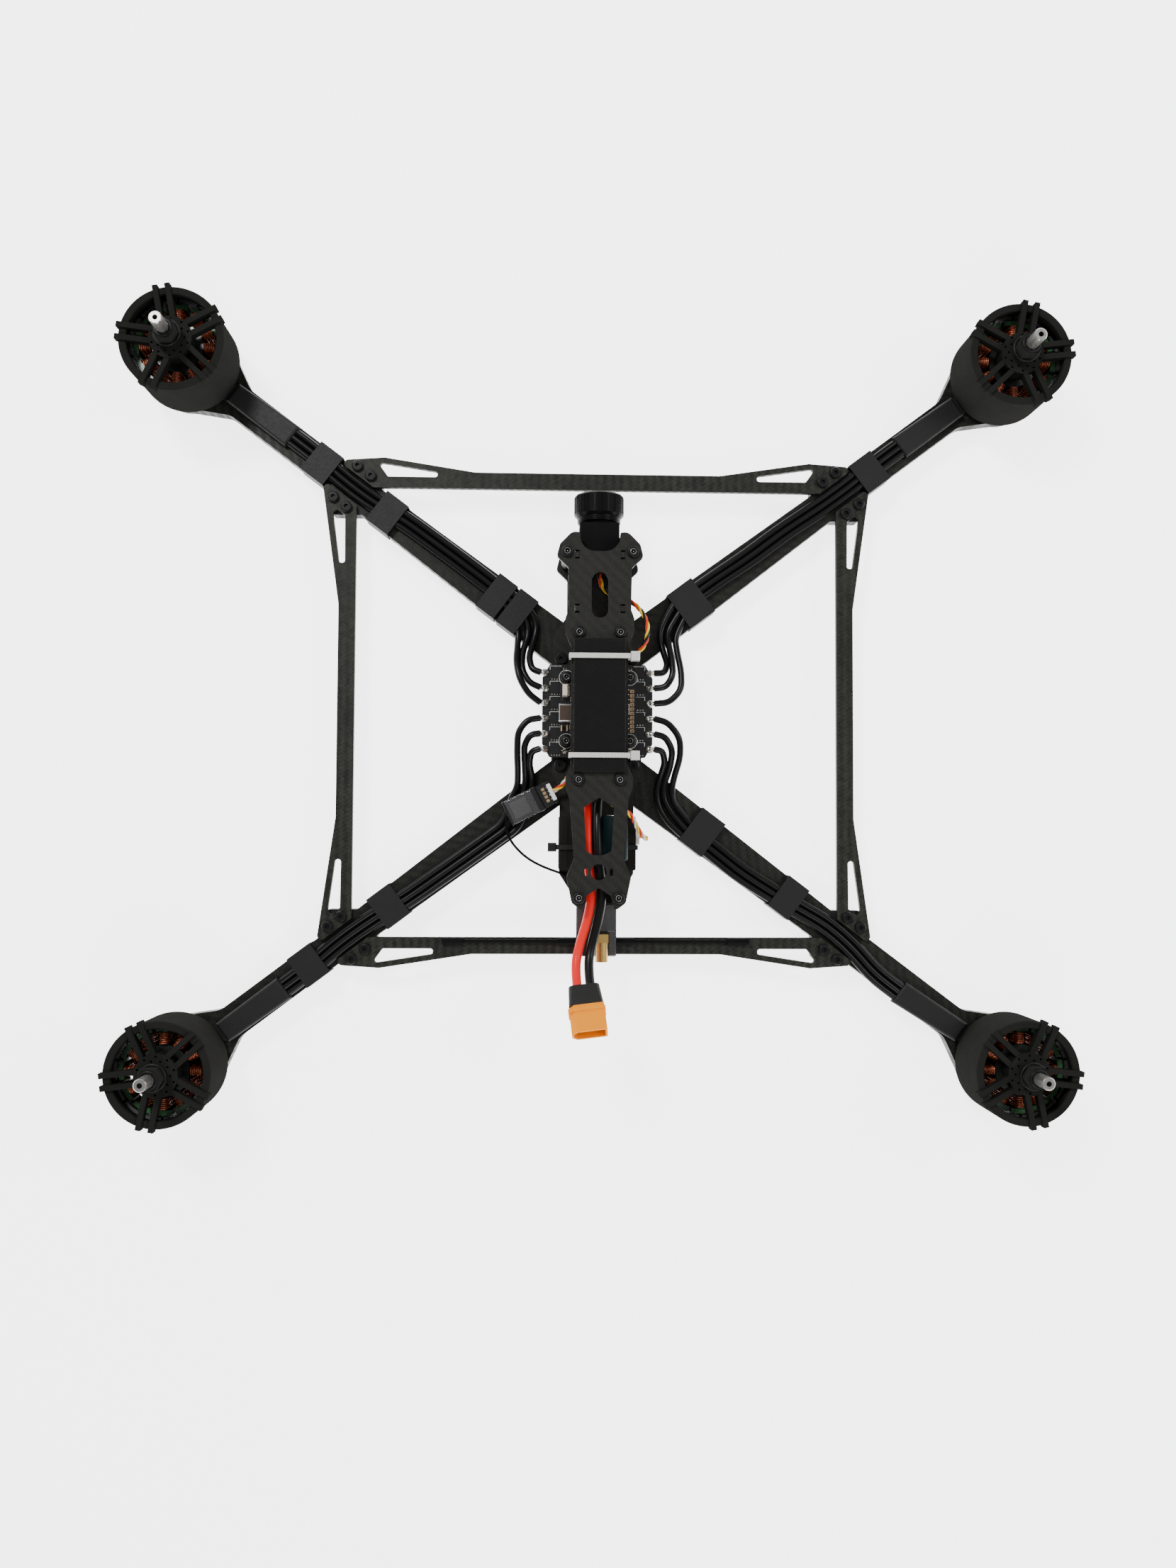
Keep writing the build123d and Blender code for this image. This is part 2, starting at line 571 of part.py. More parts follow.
barrel_rear = MOUNT_FRONT + BARREL_GAP
with BuildPart() as camera_lens:
    with BuildSketch(Plane.YZ):
        with BuildLine():
            Polyline(
                (LENS_REAR, PIVOT_Z), (LENS_REAR, PIVOT_Z + LENS_R), (barrel_rear, PIVOT_Z + LENS_R),
                (barrel_rear, PIVOT_Z + BARREL_R), (BARREL_FRONT, PIVOT_Z + BARREL_R),
                (BARREL_FRONT, PIVOT_Z + HOOD_R - HOOD_BEVEL), (BARREL_FRONT + HOOD_BEVEL, PIVOT_Z + HOOD_R),
                (HOOD_FRONT - LIP, PIVOT_Z + HOOD_R), (HOOD_FRONT, PIVOT_Z + HOOD_R - LIP),
                (HOOD_FRONT, PIVOT_Z + GLASS_R), (HOOD_FRONT - GLASS_DEEP, PIVOT_Z + GLASS_R - LIP),
                (HOOD_FRONT - GLASS_DEEP, PIVOT_Z), close=True)
        make_face()
    revolve(axis=Axis((0, 0, PIVOT_Z), (0, 1, 0)))
camera_lens.part.label = "camera_lens"
export_step(camera_lens.part, "parts/camera_lens.step")

with BuildPart() as camera_screws:
    for side in (-1, 1):
        with BuildSketch(Plane.YZ.offset(side * (CAM_HALF - PIN_DEEP))):
            with Locations((PIVOT_Y, PIVOT_Z)):
                Circle(PIN_R)
        extrude(amount=side * (side_outer + HEAD_GAP + PIN_STUB - CAM_HALF + PIN_DEEP))
        with BuildSketch(Plane.YZ.offset(side * (side_outer + HEAD_GAP))):
            with Locations((PIVOT_Y, PIVOT_Z)):
                Circle(PIN_HEAD_R)
        extrude(amount=side * PIN_HEAD_H)
camera_screws.part.label = "camera_screws"
export_step(camera_screws.part, "parts/camera_screws.step")

# ---- control stack ------------------------------------------------------------------------
BOARD_T = 1.6
ESC_Z = 18.0
ESC_TOP = ESC_Z + BOARD_T
FC_Z = 26.0
FC_TOP = FC_Z + BOARD_T
FC_SIDE = 36.5
GROMMET_HOLE = 2.0
GROMMET_R = 3.0
SPACER_R = 2.4
FLANGE_R = 3.1
FLANGE_T = 1.0
GROMMET_BORE = 1.6
SEAM_Z = 22.8                    # the rubber sleeves of the two boards meet here
STACK_HEAD_Z = FC_TOP + FLANGE_T
STACK_HEAD_H = 2.4
ESC_HALF_X, ESC_HALF_Y = 26.8, 22.6
MOTOR_ROWS = [3.7, 11.1, 18.5]
ROWS = [-y for y in reversed(MOTOR_ROWS)] + MOTOR_ROWS
FET_X = 20.2
FET_SIZE = (5.0, 5.6)
DRIVER_XY, DRIVER_SIDE = (7.5, 8.5), 5.0
CHIP_R = 0.2                     # corners of the chips
ESC_CHIP_H = 1.0
FC_CHIP_H = 0.9

with BuildPart() as esc_board:
    with BuildSketch(Plane.XY.offset(ESC_Z)):
        with BuildLine():
            rounded(mirror_y([(ESC_HALF_X, 16.0, 0.5), (23.2, ESC_HALF_Y, 1.0),
                              (-23.2, ESC_HALF_Y, 1.0), (-ESC_HALF_X, 16.0, 0.5)]))
        make_face()
        with Locations(*four_ways(STACK_XY, STACK_XY)):
            Circle(GROMMET_HOLE, mode=Mode.SUBTRACT)
    extrude(amount=BOARD_T)
esc_board.part.label = "esc_board"
export_step(esc_board.part, "parts/esc_board.step")

with BuildPart() as esc_chips:
    with BuildSketch(Plane.XY.offset(ESC_TOP)):
        with Locations(*[(side * FET_X, y) for side in (-1, 1) for y in ROWS]):
            RectangleRounded(*FET_SIZE, CHIP_R)
        with Locations(*four_ways(*DRIVER_XY)):
            RectangleRounded(DRIVER_SIDE, DRIVER_SIDE, CHIP_R)
        RectangleRounded(4.0, 4.0, CHIP_R)
    extrude(amount=ESC_CHIP_H)
esc_chips.part.label = "esc_chips"
export_step(esc_chips.part, "parts/esc_chips.step")

SOLDER_IN, WIRE_START = 23.4, 27.6
SOLDER_R = 2.0
LEAD_SOLDER_FRONT, LEAD_SOLDER_R = -19.2, 2.8
SOLDER_CUT = 5.0                 # solder stays above the board
WIRE_R = 1.6
WIRE_Z = ESC_TOP + WIRE_R
LEAD_R = 2.2
LEAD_Z = ESC_TOP + LEAD_R
LEAD_START_Y = -23.4
LEAD_PAD_X = 4.5
with BuildPart() as motor_solder:
    with BuildSketch(Plane.YZ.offset(SOLDER_IN)):
        with Locations(*[(y, ESC_TOP) for y in ROWS]):
            Circle(SOLDER_R)
        with Locations((0, ESC_TOP)):
            Rectangle(2 * ESC_HALF_X, SOLDER_CUT, align=(Align.CENTER, Align.MAX), mode=Mode.SUBTRACT)
    extrude(amount=WIRE_START - SOLDER_IN)
with BuildPart() as battery_solder:
    with BuildSketch(Plane.XZ.offset(-LEAD_SOLDER_FRONT)):
        with Locations((-LEAD_PAD_X, ESC_TOP), (LEAD_PAD_X, ESC_TOP)):
            Circle(LEAD_SOLDER_R)
        with Locations((0, ESC_TOP)):
            Rectangle(2 * ESC_HALF_X, SOLDER_CUT, align=(Align.CENTER, Align.MAX), mode=Mode.SUBTRACT)
    extrude(amount=LEAD_SOLDER_FRONT - LEAD_START_Y)
left_solder = motor_solder.part.mirror(Plane.YZ)
export_group("solder_joints", [*motor_solder.solids(), *left_solder.solids(), *battery_solder.solids()])

stack_bolts = screws(four_ways(STACK_XY, STACK_XY), STACK_HEAD_Z, SHANK_RAISE, head_h=STACK_HEAD_H)
stack_nuts = nuts(four_ways(STACK_XY, STACK_XY), 0, NUT_H)
export_group("stack_screws", [*stack_bolts, *stack_nuts])

sleeve_steps = {
    "lower": [(DECK_Z, GROMMET_R), (ESC_Z, GROMMET_HOLE), (ESC_TOP, SPACER_R), (SEAM_Z, None)],
    "upper": [(SEAM_Z, SPACER_R), (FC_Z, GROMMET_HOLE), (FC_TOP, FLANGE_R), (STACK_HEAD_Z, None)],
}
grommets = []
for steps in sleeve_steps.values():
    with BuildPart() as grommet:
        for (z, radius), (next_z, _) in zip(steps, steps[1:]):
            with BuildSketch(Plane.XY.offset(z)):
                with Locations(*four_ways(STACK_XY, STACK_XY)):
                    Circle(radius)
                    Circle(GROMMET_BORE, mode=Mode.SUBTRACT)
            extrude(amount=next_z - z)
    grommets += grommet.solids()
export_group("stack_grommets", grommets)

with BuildPart() as flight_controller_board:
    with BuildSketch(Plane.XY.offset(FC_Z)):
        RectangleRounded(FC_SIDE, FC_SIDE, 2.5)
        with Locations(*four_ways(STACK_XY, STACK_XY)):
            Circle(GROMMET_HOLE, mode=Mode.SUBTRACT)
    extrude(amount=BOARD_T)
flight_controller_board.part.label = "flight_controller_board"
export_step(flight_controller_board.part, "parts/flight_controller_board.step")

BUTTON_XY = (-16.2, -9.2)
BUTTON_R = 0.75
BUTTON_GAP = 0.05
BUTTON_CASE = (3.0, 2.8)
BUTTON_CASE_H = 1.4
BUTTON_FLOOR = 0.4
BUTTON_FOOT, BUTTON_CROWN = 0.8, 2.1  # button above the board's face, with 0.4 mm below it to travel
CAMERA_SOCKET_X, RECEIVER_SOCKET_X, VIDEO_SOCKET_X = 3.0, -9.5, 4.5
FC_SOCKET_FACE = 18.0
FC_SOCKET_LONG = 3.6
FC_SOCKET_Y = FC_SOCKET_FACE - FC_SOCKET_LONG / 2
FC_SOCKET_H = 3.0
FC_SOCKETS = [  # x, y, width, depth
    (-15.7, 8.9, 2.6, 6.0), (CAMERA_SOCKET_X, FC_SOCKET_Y, 7.0, FC_SOCKET_LONG),
    (RECEIVER_SOCKET_X, -FC_SOCKET_Y, 5.0, FC_SOCKET_LONG),
    (VIDEO_SOCKET_X, -FC_SOCKET_Y, 7.0, FC_SOCKET_LONG),
]
FC_CHIPS = [(0, 0, 7.0, 7.0), (0, 8.0, 3.0, 3.0), (8.0, 3.0, 3.0, 3.0), (-7.5, -6.0, 5.0, 4.0)]
SMALL_PART_XY, SMALL_PART_SIZE, SMALL_PART_H = [(-16.0, 4.4), (-16.0, 3.2)], (1.6, 0.8), 0.7
with BuildPart() as fc_parts:
    with BuildSketch(Plane.XY.offset(FC_TOP)):
        for x, y, width, depth in FC_CHIPS:
            with Locations((x, y)):
                RectangleRounded(width, depth, CHIP_R)
    extrude(amount=FC_CHIP_H)
    with BuildSketch(Plane.XY.offset(FC_TOP)):
        for x, y, width, depth in FC_SOCKETS:
            with Locations((x, y)):
                Rectangle(width, depth)
    extrude(amount=FC_SOCKET_H)
    with BuildSketch(Plane.XY.offset(FC_TOP)):
        with Locations(*SMALL_PART_XY):
            Rectangle(*SMALL_PART_SIZE)
    extrude(amount=SMALL_PART_H)
    with BuildSketch(Plane.XY.offset(FC_TOP)):
        with Locations(BUTTON_XY):
            Rectangle(*BUTTON_CASE)
    extrude(amount=BUTTON_CASE_H)
    with BuildSketch(Plane.XY.offset(FC_TOP + BUTTON_FLOOR)):
        with Locations(BUTTON_XY):
            Circle(BUTTON_R)
    extrude(amount=BUTTON_CASE_H, mode=Mode.SUBTRACT)
fc_parts.part.label = "flight_controller_parts"
export_step(fc_parts.part, "parts/flight_controller_parts.step")

with BuildPart() as boot_button:
    with BuildSketch(Plane.XY.offset(FC_TOP + BUTTON_FOOT)):
        with Locations(BUTTON_XY):
            Circle(BUTTON_R - BUTTON_GAP)
    extrude(amount=BUTTON_CROWN - BUTTON_FOOT)
boot_button.part.label = "boot_button"
export_step(boot_button.part, "parts/boot_button.step")

USB_FACE_X = -18.8
USB_DEEP = 7.3
USB_W, USB_H = 9.0, 3.2
USB_Y = -2.0
USB_ROUND = 1.2
USB_OPEN_W, USB_OPEN_H, USB_OPEN_ROUND = 8.3, 2.5, 1.1
USB_BACK = 1.0
TONGUE_W, TONGUE_T, TONGUE_LONG = 6.7, 0.7, 6.3
usb_back_plane = Plane.YZ.offset(USB_FACE_X + USB_DEEP)
with BuildPart() as usb_socket:
    with BuildSketch(Plane.YZ.offset(USB_FACE_X)):
        with Locations((USB_Y, FC_TOP + USB_H / 2)):
            RectangleRounded(USB_W, USB_H, USB_ROUND)
            RectangleRounded(USB_OPEN_W, USB_OPEN_H, USB_OPEN_ROUND, mode=Mode.SUBTRACT)
    extrude(amount=USB_DEEP)
    with BuildSketch(usb_back_plane):
        with Locations((USB_Y, FC_TOP + USB_H / 2)):
            RectangleRounded(USB_W, USB_H, USB_ROUND)
    extrude(amount=-USB_BACK)
    with BuildSketch(usb_back_plane):
        with Locations((USB_Y, FC_TOP + USB_H / 2)):
            Rectangle(TONGUE_W, TONGUE_T)
    extrude(amount=-TONGUE_LONG)
usb_socket.part.label = "usb_socket"
export_step(usb_socket.part, "parts/usb_socket.step")

# ---- rear bay -----------------------------------------------------------------------------
CAP_R = 6.3
CAP_X, CAP_Z = 7.8, 33.4
CAP_ROUND = 0.8
CAP_FRONT, CAP_REAR = -51.0, -72.0
with BuildPart() as capacitor:
    with BuildSketch(Plane.XZ.offset(-CAP_FRONT)):
        with Locations((CAP_X, CAP_Z)):
            Circle(CAP_R)
    extrude(amount=CAP_FRONT - CAP_REAR)
    fillet(capacitor.edges(), CAP_ROUND)
capacitor.part.label = "capacitor"
export_step(capacitor.part, "parts/capacitor.step")

VTX_HALF = 18.5
VTX_FRONT, VTX_REAR = -51.0, -77.0
VTX_TOP = 26.0
VTX_PLUG = 2.0                   # how far the cable's plug stands out of the side
VTX_PLUG_W, VTX_PLUG_H = 8.0, 3.6
VTX_PLUG_Y, VTX_PLUG_Z = -60.6, 19.5
with BuildPart() as video_transmitter:
    with BuildSketch(Plane.XY.offset(DECK_Z)):
        with Locations((0, (VTX_FRONT + VTX_REAR) / 2)):
            RectangleRounded(2 * VTX_HALF, VTX_FRONT - VTX_REAR, 1.0)
    extrude(amount=VTX_TOP - DECK_Z)
    chamfer(video_transmitter.edges().group_by(Axis.Z)[-1], 0.5)
    with BuildSketch(Plane.YZ.offset(VTX_HALF)):
        with Locations((VTX_PLUG_Y, VTX_PLUG_Z)):
            Rectangle(VTX_PLUG_W, VTX_PLUG_H)
    extrude(amount=VTX_PLUG)
video_transmitter.part.label = "video_transmitter"
export_step(video_transmitter.part, "parts/video_transmitter.step")

REAR_BOARD_Z = 17.3
REAR_BOARD_T = 1.6
REAR_BOARD_FRONT, REAR_BOARD_REAR = -93.0, -118.5
REAR_BOARD_HALF = 9.7
FOAM_Y, FOAM_W, FOAM_L = -100.0, 16.0, 12.0  # foam block that carries the rear board
with BuildPart() as rear_board:
    with BuildSketch(Plane.XY.offset(REAR_BOARD_Z)):
        with Locations((0, (REAR_BOARD_FRONT + REAR_BOARD_REAR) / 2)):
            RectangleRounded(2 * REAR_BOARD_HALF, REAR_BOARD_FRONT - REAR_BOARD_REAR, 0.8)
    extrude(amount=REAR_BOARD_T)
    with BuildSketch(Plane.XY.offset(DECK_Z)):
        with Locations((0, FOAM_Y)):
            Rectangle(FOAM_W, FOAM_L)
    extrude(amount=REAR_BOARD_Z - DECK_Z)
rear_board.part.label = "rear_board"
export_step(rear_board.part, "parts/rear_board.step")

SMA_X = 2.4
SMA_R = 3.15
SMA_Z = REAR_BOARD_Z + REAR_BOARD_T + SMA_R
SMA_REAR = -120.8
SMA_BLOCK_FRONT, SMA_BLOCK_REAR = -107.5, -111.5
SMA_BORE, SMA_DEEP, SMA_PIN_R = 2.2, 3.0, 0.5
with BuildPart() as antenna_connector:
    with BuildSketch(Plane.XY.offset(REAR_BOARD_Z + REAR_BOARD_T)):
        with Locations((SMA_X, (SMA_BLOCK_FRONT + SMA_BLOCK_REAR) / 2)):
            Rectangle(2 * SMA_R, SMA_BLOCK_FRONT - SMA_BLOCK_REAR)
    extrude(amount=2 * SMA_R)
    with BuildSketch(Plane.XZ.offset(-SMA_BLOCK_REAR)):
        with Locations((SMA_X, SMA_Z)):
            Circle(SMA_R)
    extrude(amount=SMA_BLOCK_REAR - SMA_REAR)
    with BuildSketch(Plane.XZ.offset(-SMA_REAR)):
        with Locations((SMA_X, SMA_Z)):
            Circle(SMA_BORE)
    extrude(amount=-SMA_DEEP, mode=Mode.SUBTRACT)
    with BuildSketch(Plane.XZ.offset(-SMA_REAR)):
        with Locations((SMA_X, SMA_Z)):
            Circle(SMA_PIN_R)
    extrude(amount=-SMA_DEEP)
antenna_connector.part.label = "antenna_connector"
export_step(antenna_connector.part, "parts/antenna_connector.step")

# Dipole antenna lying on the rear brace, its middle under the rear board
DIPOLE_Y = -111.6
SLEEVE_R = 1.6
DIPOLE_Z = DECK_Z + SLEEVE_R
ROD_R = 0.8
ROD_END, CAPSULE_END = 64.0, 74.5
CAPSULE_R = 1.6
SLEEVE_END = 18.5
with BuildPart() as dipole_antenna:
    with BuildSketch(Plane.YZ.offset(-SLEEVE_END)):
        with Locations((DIPOLE_Y, DIPOLE_Z)):
            Circle(SLEEVE_R)
    extrude(amount=2 * SLEEVE_END)
    for side in (-1, 1):
        with BuildSketch(Plane.YZ.offset(side * (SLEEVE_END - 1))):
            with Locations((DIPOLE_Y, DIPOLE_Z)):
                Circle(ROD_R)
        extrude(amount=side * (ROD_END - SLEEVE_END + 2))
        with BuildSketch(Plane.YZ.offset(side * ROD_END)):
            with Locations((DIPOLE_Y, DIPOLE_Z)):
                Circle(CAPSULE_R)
        extrude(amount=side * (CAPSULE_END - ROD_END))
dipole_antenna.part.label = "dipole_antenna"
export_step(dipole_antenna.part, "parts/dipole_antenna.step")

# ---- radio receiver on the rear left arm --------------------------------------------------
RX_XY = (-32.0, -44.5)
RX_TURN = math.radians(27.0)       # the receiver lies turned by this angle from the cross axis
RX_Z = 17.2
RX_LONG, RX_WIDE = 24.5, 11.6
RX_T = 1.2
RX_PARTS = [  # along the board, across it, length, width, height
    (5.6, 0.0, 9.0, 8.6, 1.4), (-1.8, -2.6, 2.4, 2.4, 1.4), (-11.2, 0.0, 2.0, 8.6, 2.6),
]
rx_plane = Plane(origin=(*RX_XY, RX_Z), x_dir=(-math.cos(RX_TURN), -math.sin(RX_TURN), 0), z_dir=(0, 0, 1))
with BuildPart() as receiver_board:
    with BuildSketch(rx_plane):
        RectangleRounded(RX_LONG, RX_WIDE, 0.6)
    extrude(amount=RX_T)
    for x, y, length, width, height in RX_PARTS:
        with BuildSketch(rx_plane.offset(RX_T)):
            with Locations((x, y)):
                Rectangle(length, width)
        extrude(amount=height)
receiver_board.part.label = "receiver_board"
export_step(receiver_board.part, "parts/receiver_board.step")

# ---- battery pad and ties -----------------------------------------------------------------
with BuildPart() as battery_pad:
    with BuildSketch(Plane.XY.offset(ROOF_Z)):
        with Locations((0, (PAD_FRONT + PAD_REAR) / 2)):
            Rectangle(2 * PAD_HALF, PAD_FRONT - PAD_REAR)
    extrude(amount=PAD_T)
    fillet(battery_pad.edges().group_by(Axis.Z)[-1], 0.6)
battery_pad.part.label = "battery_pad"
export_step(battery_pad.part, "parts/battery_pad.step")

TIE_W = 2.3
TIE_T = 1.0
TIE_HEAD_W, TIE_HEAD_H, TIE_HEAD_R = 4.2, 4.4, 0.6
TIE_HEAD_OUT = TIE_T + TIE_HEAD_W / 2


def tie(y, half, low, high, head_x, head_z):
    """A cable tie round everything between x = -half and half, low and high, with its head at head_x."""
    with BuildPart() as band:
        with BuildSketch(Plane.XZ.offset(-y - TIE_W / 2)):
            with Locations((0, (low + high) / 2)):
                RectangleRounded(2 * (half + TIE_T), high - low + 2 * TIE_T, TIE_T * 0.9)
                Rectangle(2 * half, high - low, mode=Mode.SUBTRACT)
        extrude(amount=TIE_W)
        with BuildSketch(Plane.XZ.offset(-y - TIE_HEAD_W / 2)):
            with Locations((head_x, head_z)):
                RectangleRounded(TIE_HEAD_W, TIE_HEAD_H, TIE_HEAD_R)
        extrude(amount=TIE_HEAD_W)
    return band.solids()


TIE_Y = (23.0, -23.2)
PAD_TIE_HEAD_Z = ROOF_Z + 2.0
BAY_TIE_Y, BAY_TIE_HEAD_Z = -66.0, 22.0
pad_ties = [
    piece for y in TIE_Y
    for piece in tie(y, STRIP_HALF, TOP_Z, ROOF_Z + PAD_T, STRIP_HALF + TIE_HEAD_OUT, PAD_TIE_HEAD_Z)
]
export_group("zip_ties", pad_ties)

# ---- motor wires --------------------------------------------------------------------------
# Three wires per arm. Each route is given on the front right quarter and mirrored to its corner:
# from the solder joint, down to the arm, then along the arm's top into the flat motor sleeve.
ARM_WIRE_Z = MID_Z + WIRE_R
SLEEVE_S = 200.5


def along(*stations):
    """Route points on the arm's top at the given (s, t) stations."""
    return [(*on_arm(s, t), ARM_WIRE_Z) for s, t in stations]


WIRE_ROUTES = {
    "front_left": [
        [(31.8, 20.0, 20.6), (33.4, 26.0, 18.2), (31.4, 34.0, 14.6), (29.6, 41.0, 13.1), (31.2, 48.0, 13.1),
         *along((66, 6.0), (84, 6.3), (108, 6.2), (133, 5.6), (150, 3.7), (168, 3.5), (186, 5.1),
                (SLEEVE_S, 5.1))],
        [(33.0, 13.4, 20.9), (36.8, 20.0, 19.4), (36.6, 29.0, 16.0), (34.0, 37.0, 13.3), (34.0, 44.2, 13.1),
         *along((66, 2.6), (84, 2.9), (108, 2.8), (133, 2.2), (150, 0.3), (168, 0.1), (186, 1.7),
                (SLEEVE_S, 1.7))],
        [(33.4, 7.8, 22.4), (38.0, 15.5, 22.8), (39.6, 24.5, 19.8), (39.0, 32.4, 14.6), (38.8, 40.0, 13.1),
         *along((66, -0.8), (84, -0.5), (108, -0.6), (133, -1.2), (150, -3.1), (168, -3.3), (186, -1.7),
                (SLEEVE_S, -1.7))],
    ],
    "front_right": [
        [(32.4, 18.7, 20.6), (34.4, 23.4, 17.4), (32.2, 31.0, 14.0), (30.8, 38.6, 13.1), (33.4, 46.0, 13.1),
         *along((66, 6.0), (84, 5.8), (104, 4.8), (128, 5.0), (150, 3.7), (168, 3.5), (186, 4.4),
                (SLEEVE_S, 4.4))],
        [(33.0, 11.6, 22.2), (36.4, 17.0, 22.8), (36.4, 25.0, 20.4), (35.0, 33.0, 16.0), (34.6, 40.0, 13.3),
         (38.0, 46.0, 13.1),
         *along((70, 2.6), (88, 2.4), (106, 1.3), (128, 1.6), (150, 0.3), (168, 0.1), (186, 1.0),
                (SLEEVE_S, 1.0))],
        [(34.6, 4.2, 21.4), (40.8, 10.4, 20.8), (41.0, 19.6, 18.8), (39.4, 28.6, 15.8), (38.4, 36.6, 13.4),
         (41.0, 43.0, 13.1),
         *along((70, -0.8), (88, -1.0), (108, -2.2), (128, -1.8), (150, -3.1), (168, -3.3), (186, -2.4),
                (SLEEVE_S, -2.4))],
    ],
    "rear_left": [
        [(31.8, 19.8, 20.7), (33.0, 25.4, 18.0), (31.4, 32.4, 14.4), (31.4, 39.5, 13.2), (34.4, 46.6, 13.1),
         *along((64, 7.0), (80, 6.9), (104, 6.3), (130, 5.6), (150, 3.8), (168, 3.5), (186, 5.1),
                (SLEEVE_S, 5.1))],
        [(32.5, 11.8, 21.4), (35.4, 17.0, 20.4), (35.0, 26.0, 17.0), (34.6, 34.0, 13.8), (35.8, 40.6, 13.1),
         (39.4, 46.8, 13.1),
         *along((68, 3.6), (84, 3.4), (106, 2.9), (130, 2.2), (150, 0.4), (168, 0.1), (186, 1.7),
                (SLEEVE_S, 1.7))],
        [(33.8, 4.6, 21.6), (38.4, 10.5, 21.8), (38.8, 20.0, 19.8), (38.4, 29.0, 16.2), (38.6, 36.6, 13.4),
         (41.6, 42.2, 13.1),
         *along((68, 0.2), (84, 0.0), (106, -0.5), (130, -1.2), (150, -3.0), (168, -3.3), (186, -1.7),
                (SLEEVE_S, -1.7))],
    ],
    "rear_right": [
        [(31.6, 19.2, 20.6), (33.2, 24.6, 18.2), (31.0, 32.0, 14.6), (29.4, 39.0, 13.2), (30.4, 46.0, 13.1),
         (34.6, 53.2, 13.1),
         *along((70, 7.2), (84, 7.2), (104, 7.9), (122, 6.2), (136, 4.8), (152, 2.6), (168, 3.6), (186, 7.4),
                (SLEEVE_S, 7.4))],
        [(32.8, 12.3, 21.4), (36.6, 18.5, 20.4), (35.8, 27.0, 16.8), (33.0, 35.0, 13.9), (33.0, 42.5, 13.1),
         (37.0, 49.6, 13.1),
         *along((70, 3.8), (84, 3.8), (104, 4.4), (122, 2.8), (136, 1.4), (152, -0.8), (168, 0.2), (186, 4.0),
                (SLEEVE_S, 4.0))],
        [(34.0, 5.4, 22.0), (40.0, 12.5, 21.8), (40.6, 22.0, 19.0), (38.2, 30.5, 15.6), (36.8, 37.6, 13.4),
         (37.8, 44.0, 13.1), (42.0, 49.4, 13.1),
         *along((72, 0.4), (86, 0.4), (104, 1.0), (122, -0.6), (136, -2.0), (152, -4.2), (168, -3.2),
                (186, 0.6),
                (SLEEVE_S, 0.6))],
    ],
}
ROW_ORDER = [18.5, 11.1, 3.7]


def bend_radii(points):
    """Tangent arcs as large as the runs beside each corner allow."""
    vectors = [Vector(*p) for p in points]
    radii = []
    for before, corner, after in zip(vectors, vectors[1:], vectors[2:]):
        arrive, leave = corner - before, after - corner
        half_turn = math.radians(arrive.get_angle(leave)) / 2
        radii.append(0.45 * min(arrive.length, leave.length) / math.tan(half_turn))
    return radii


def tube(name, points, radius):
    """A round tube along straight runs joined by tangent arcs."""
    radii = bend_radii(points)
    with BuildPart() as run:
        with BuildLine() as path:
            FilletPolyline(*points, radius=radii)
        with BuildSketch(path.line ^ 0):
            Circle(radius)
        sweep()
    length = path.wires()[0].length
    ideal = math.pi * radius ** 2 * length
    ratio = run.part.volume / ideal
    print(f"{name}: length {length:.1f}, smallest radius {min(radii):.1f}, volume ratio {ratio:.4f}")
    return run.solids()


wires = []
for corner, (sx, sy) in CORNERS.items():
    for row, route in zip(ROW_ORDER, WIRE_ROUTES[corner]):
        start = (WIRE_START, row, WIRE_Z)
        wires += tube(f"wire {corner} {row}", flip([start, *route], sx, sy), WIRE_R)
export_group("motor_wires", wires)

# ---- wire sleeves and tapes, with the black tie round the video transmitter ---------------
TAPE_T = 0.4
TAPE_Z = ARM_Z - TAPE_T
TAPE_GAP = 0.1                   # between a tape and what it wraps
TAPE_TOP = MID_Z + 2 * WIRE_R + TAPE_GAP
TAPES = {  # (station, width, half width of the arm there)
    "front_left": [(61.0, 11.0), (73.6, 11.0), (140.9, 13.0), (181.0, 13.5)],
    "front_right": [(69.4, 15.0), (180.6, 13.5)],
    "rear_left": [(137.5, 13.5), (185.0, 13.5)],
    "rear_right": [(76.5, 14.0), (129.6, 12.5)],
}


def arm_half(s):
    """Half width of an arm at station s, clear of its lug."""
    if s > 151:
        return ARM_HALF
    return ROOT_HALF + (ARM_HALF - ROOT_HALF) * (s - 40) / 111


def arm_plane(corner, s, z):
    """Plane at station s of an arm's centre line, x along the arm."""
    sx, sy = CORNERS[corner]
    x, y = on_arm(s, 0)
    return Plane(origin=(sx * x, sy * y, z), x_dir=(sx * ARM_COS, sy * ARM_SIN, 0), z_dir=(0, 0, 1))


tapes = tie(BAY_TIE_Y, VTX_HALF, MID_Z, VTX_TOP, -VTX_HALF - TIE_HEAD_OUT, BAY_TIE_HEAD_Z)
for corner, bands in TAPES.items():
    for s, width in bands:
        half = arm_half(s - width / 2) + TAPE_GAP
        height = TAPE_TOP - ARM_Z
        mid = arm_plane(corner, s, (TAPE_TOP + ARM_Z) / 2)
        with BuildPart(mid) as band:
            Box(width, 2 * (half + TAPE_T), height + 2 * TAPE_T)
            Box(width, 2 * half, height, mode=Mode.SUBTRACT)
        tapes += band.solids()
SLEEVE_END_S = 237.0
SLEEVE_H = 2 * WIRE_R + 0.4
SLEEVE_HALF = 6.0
SLEEVE_TAPER = 0.6
SLEEVE_ROUND = 1.4
TONGUE_END_S = 241.3
TONGUE_H = 1.6
TONGUE_HALF = (5.0, 4.2)         # at the sleeve and at the motor
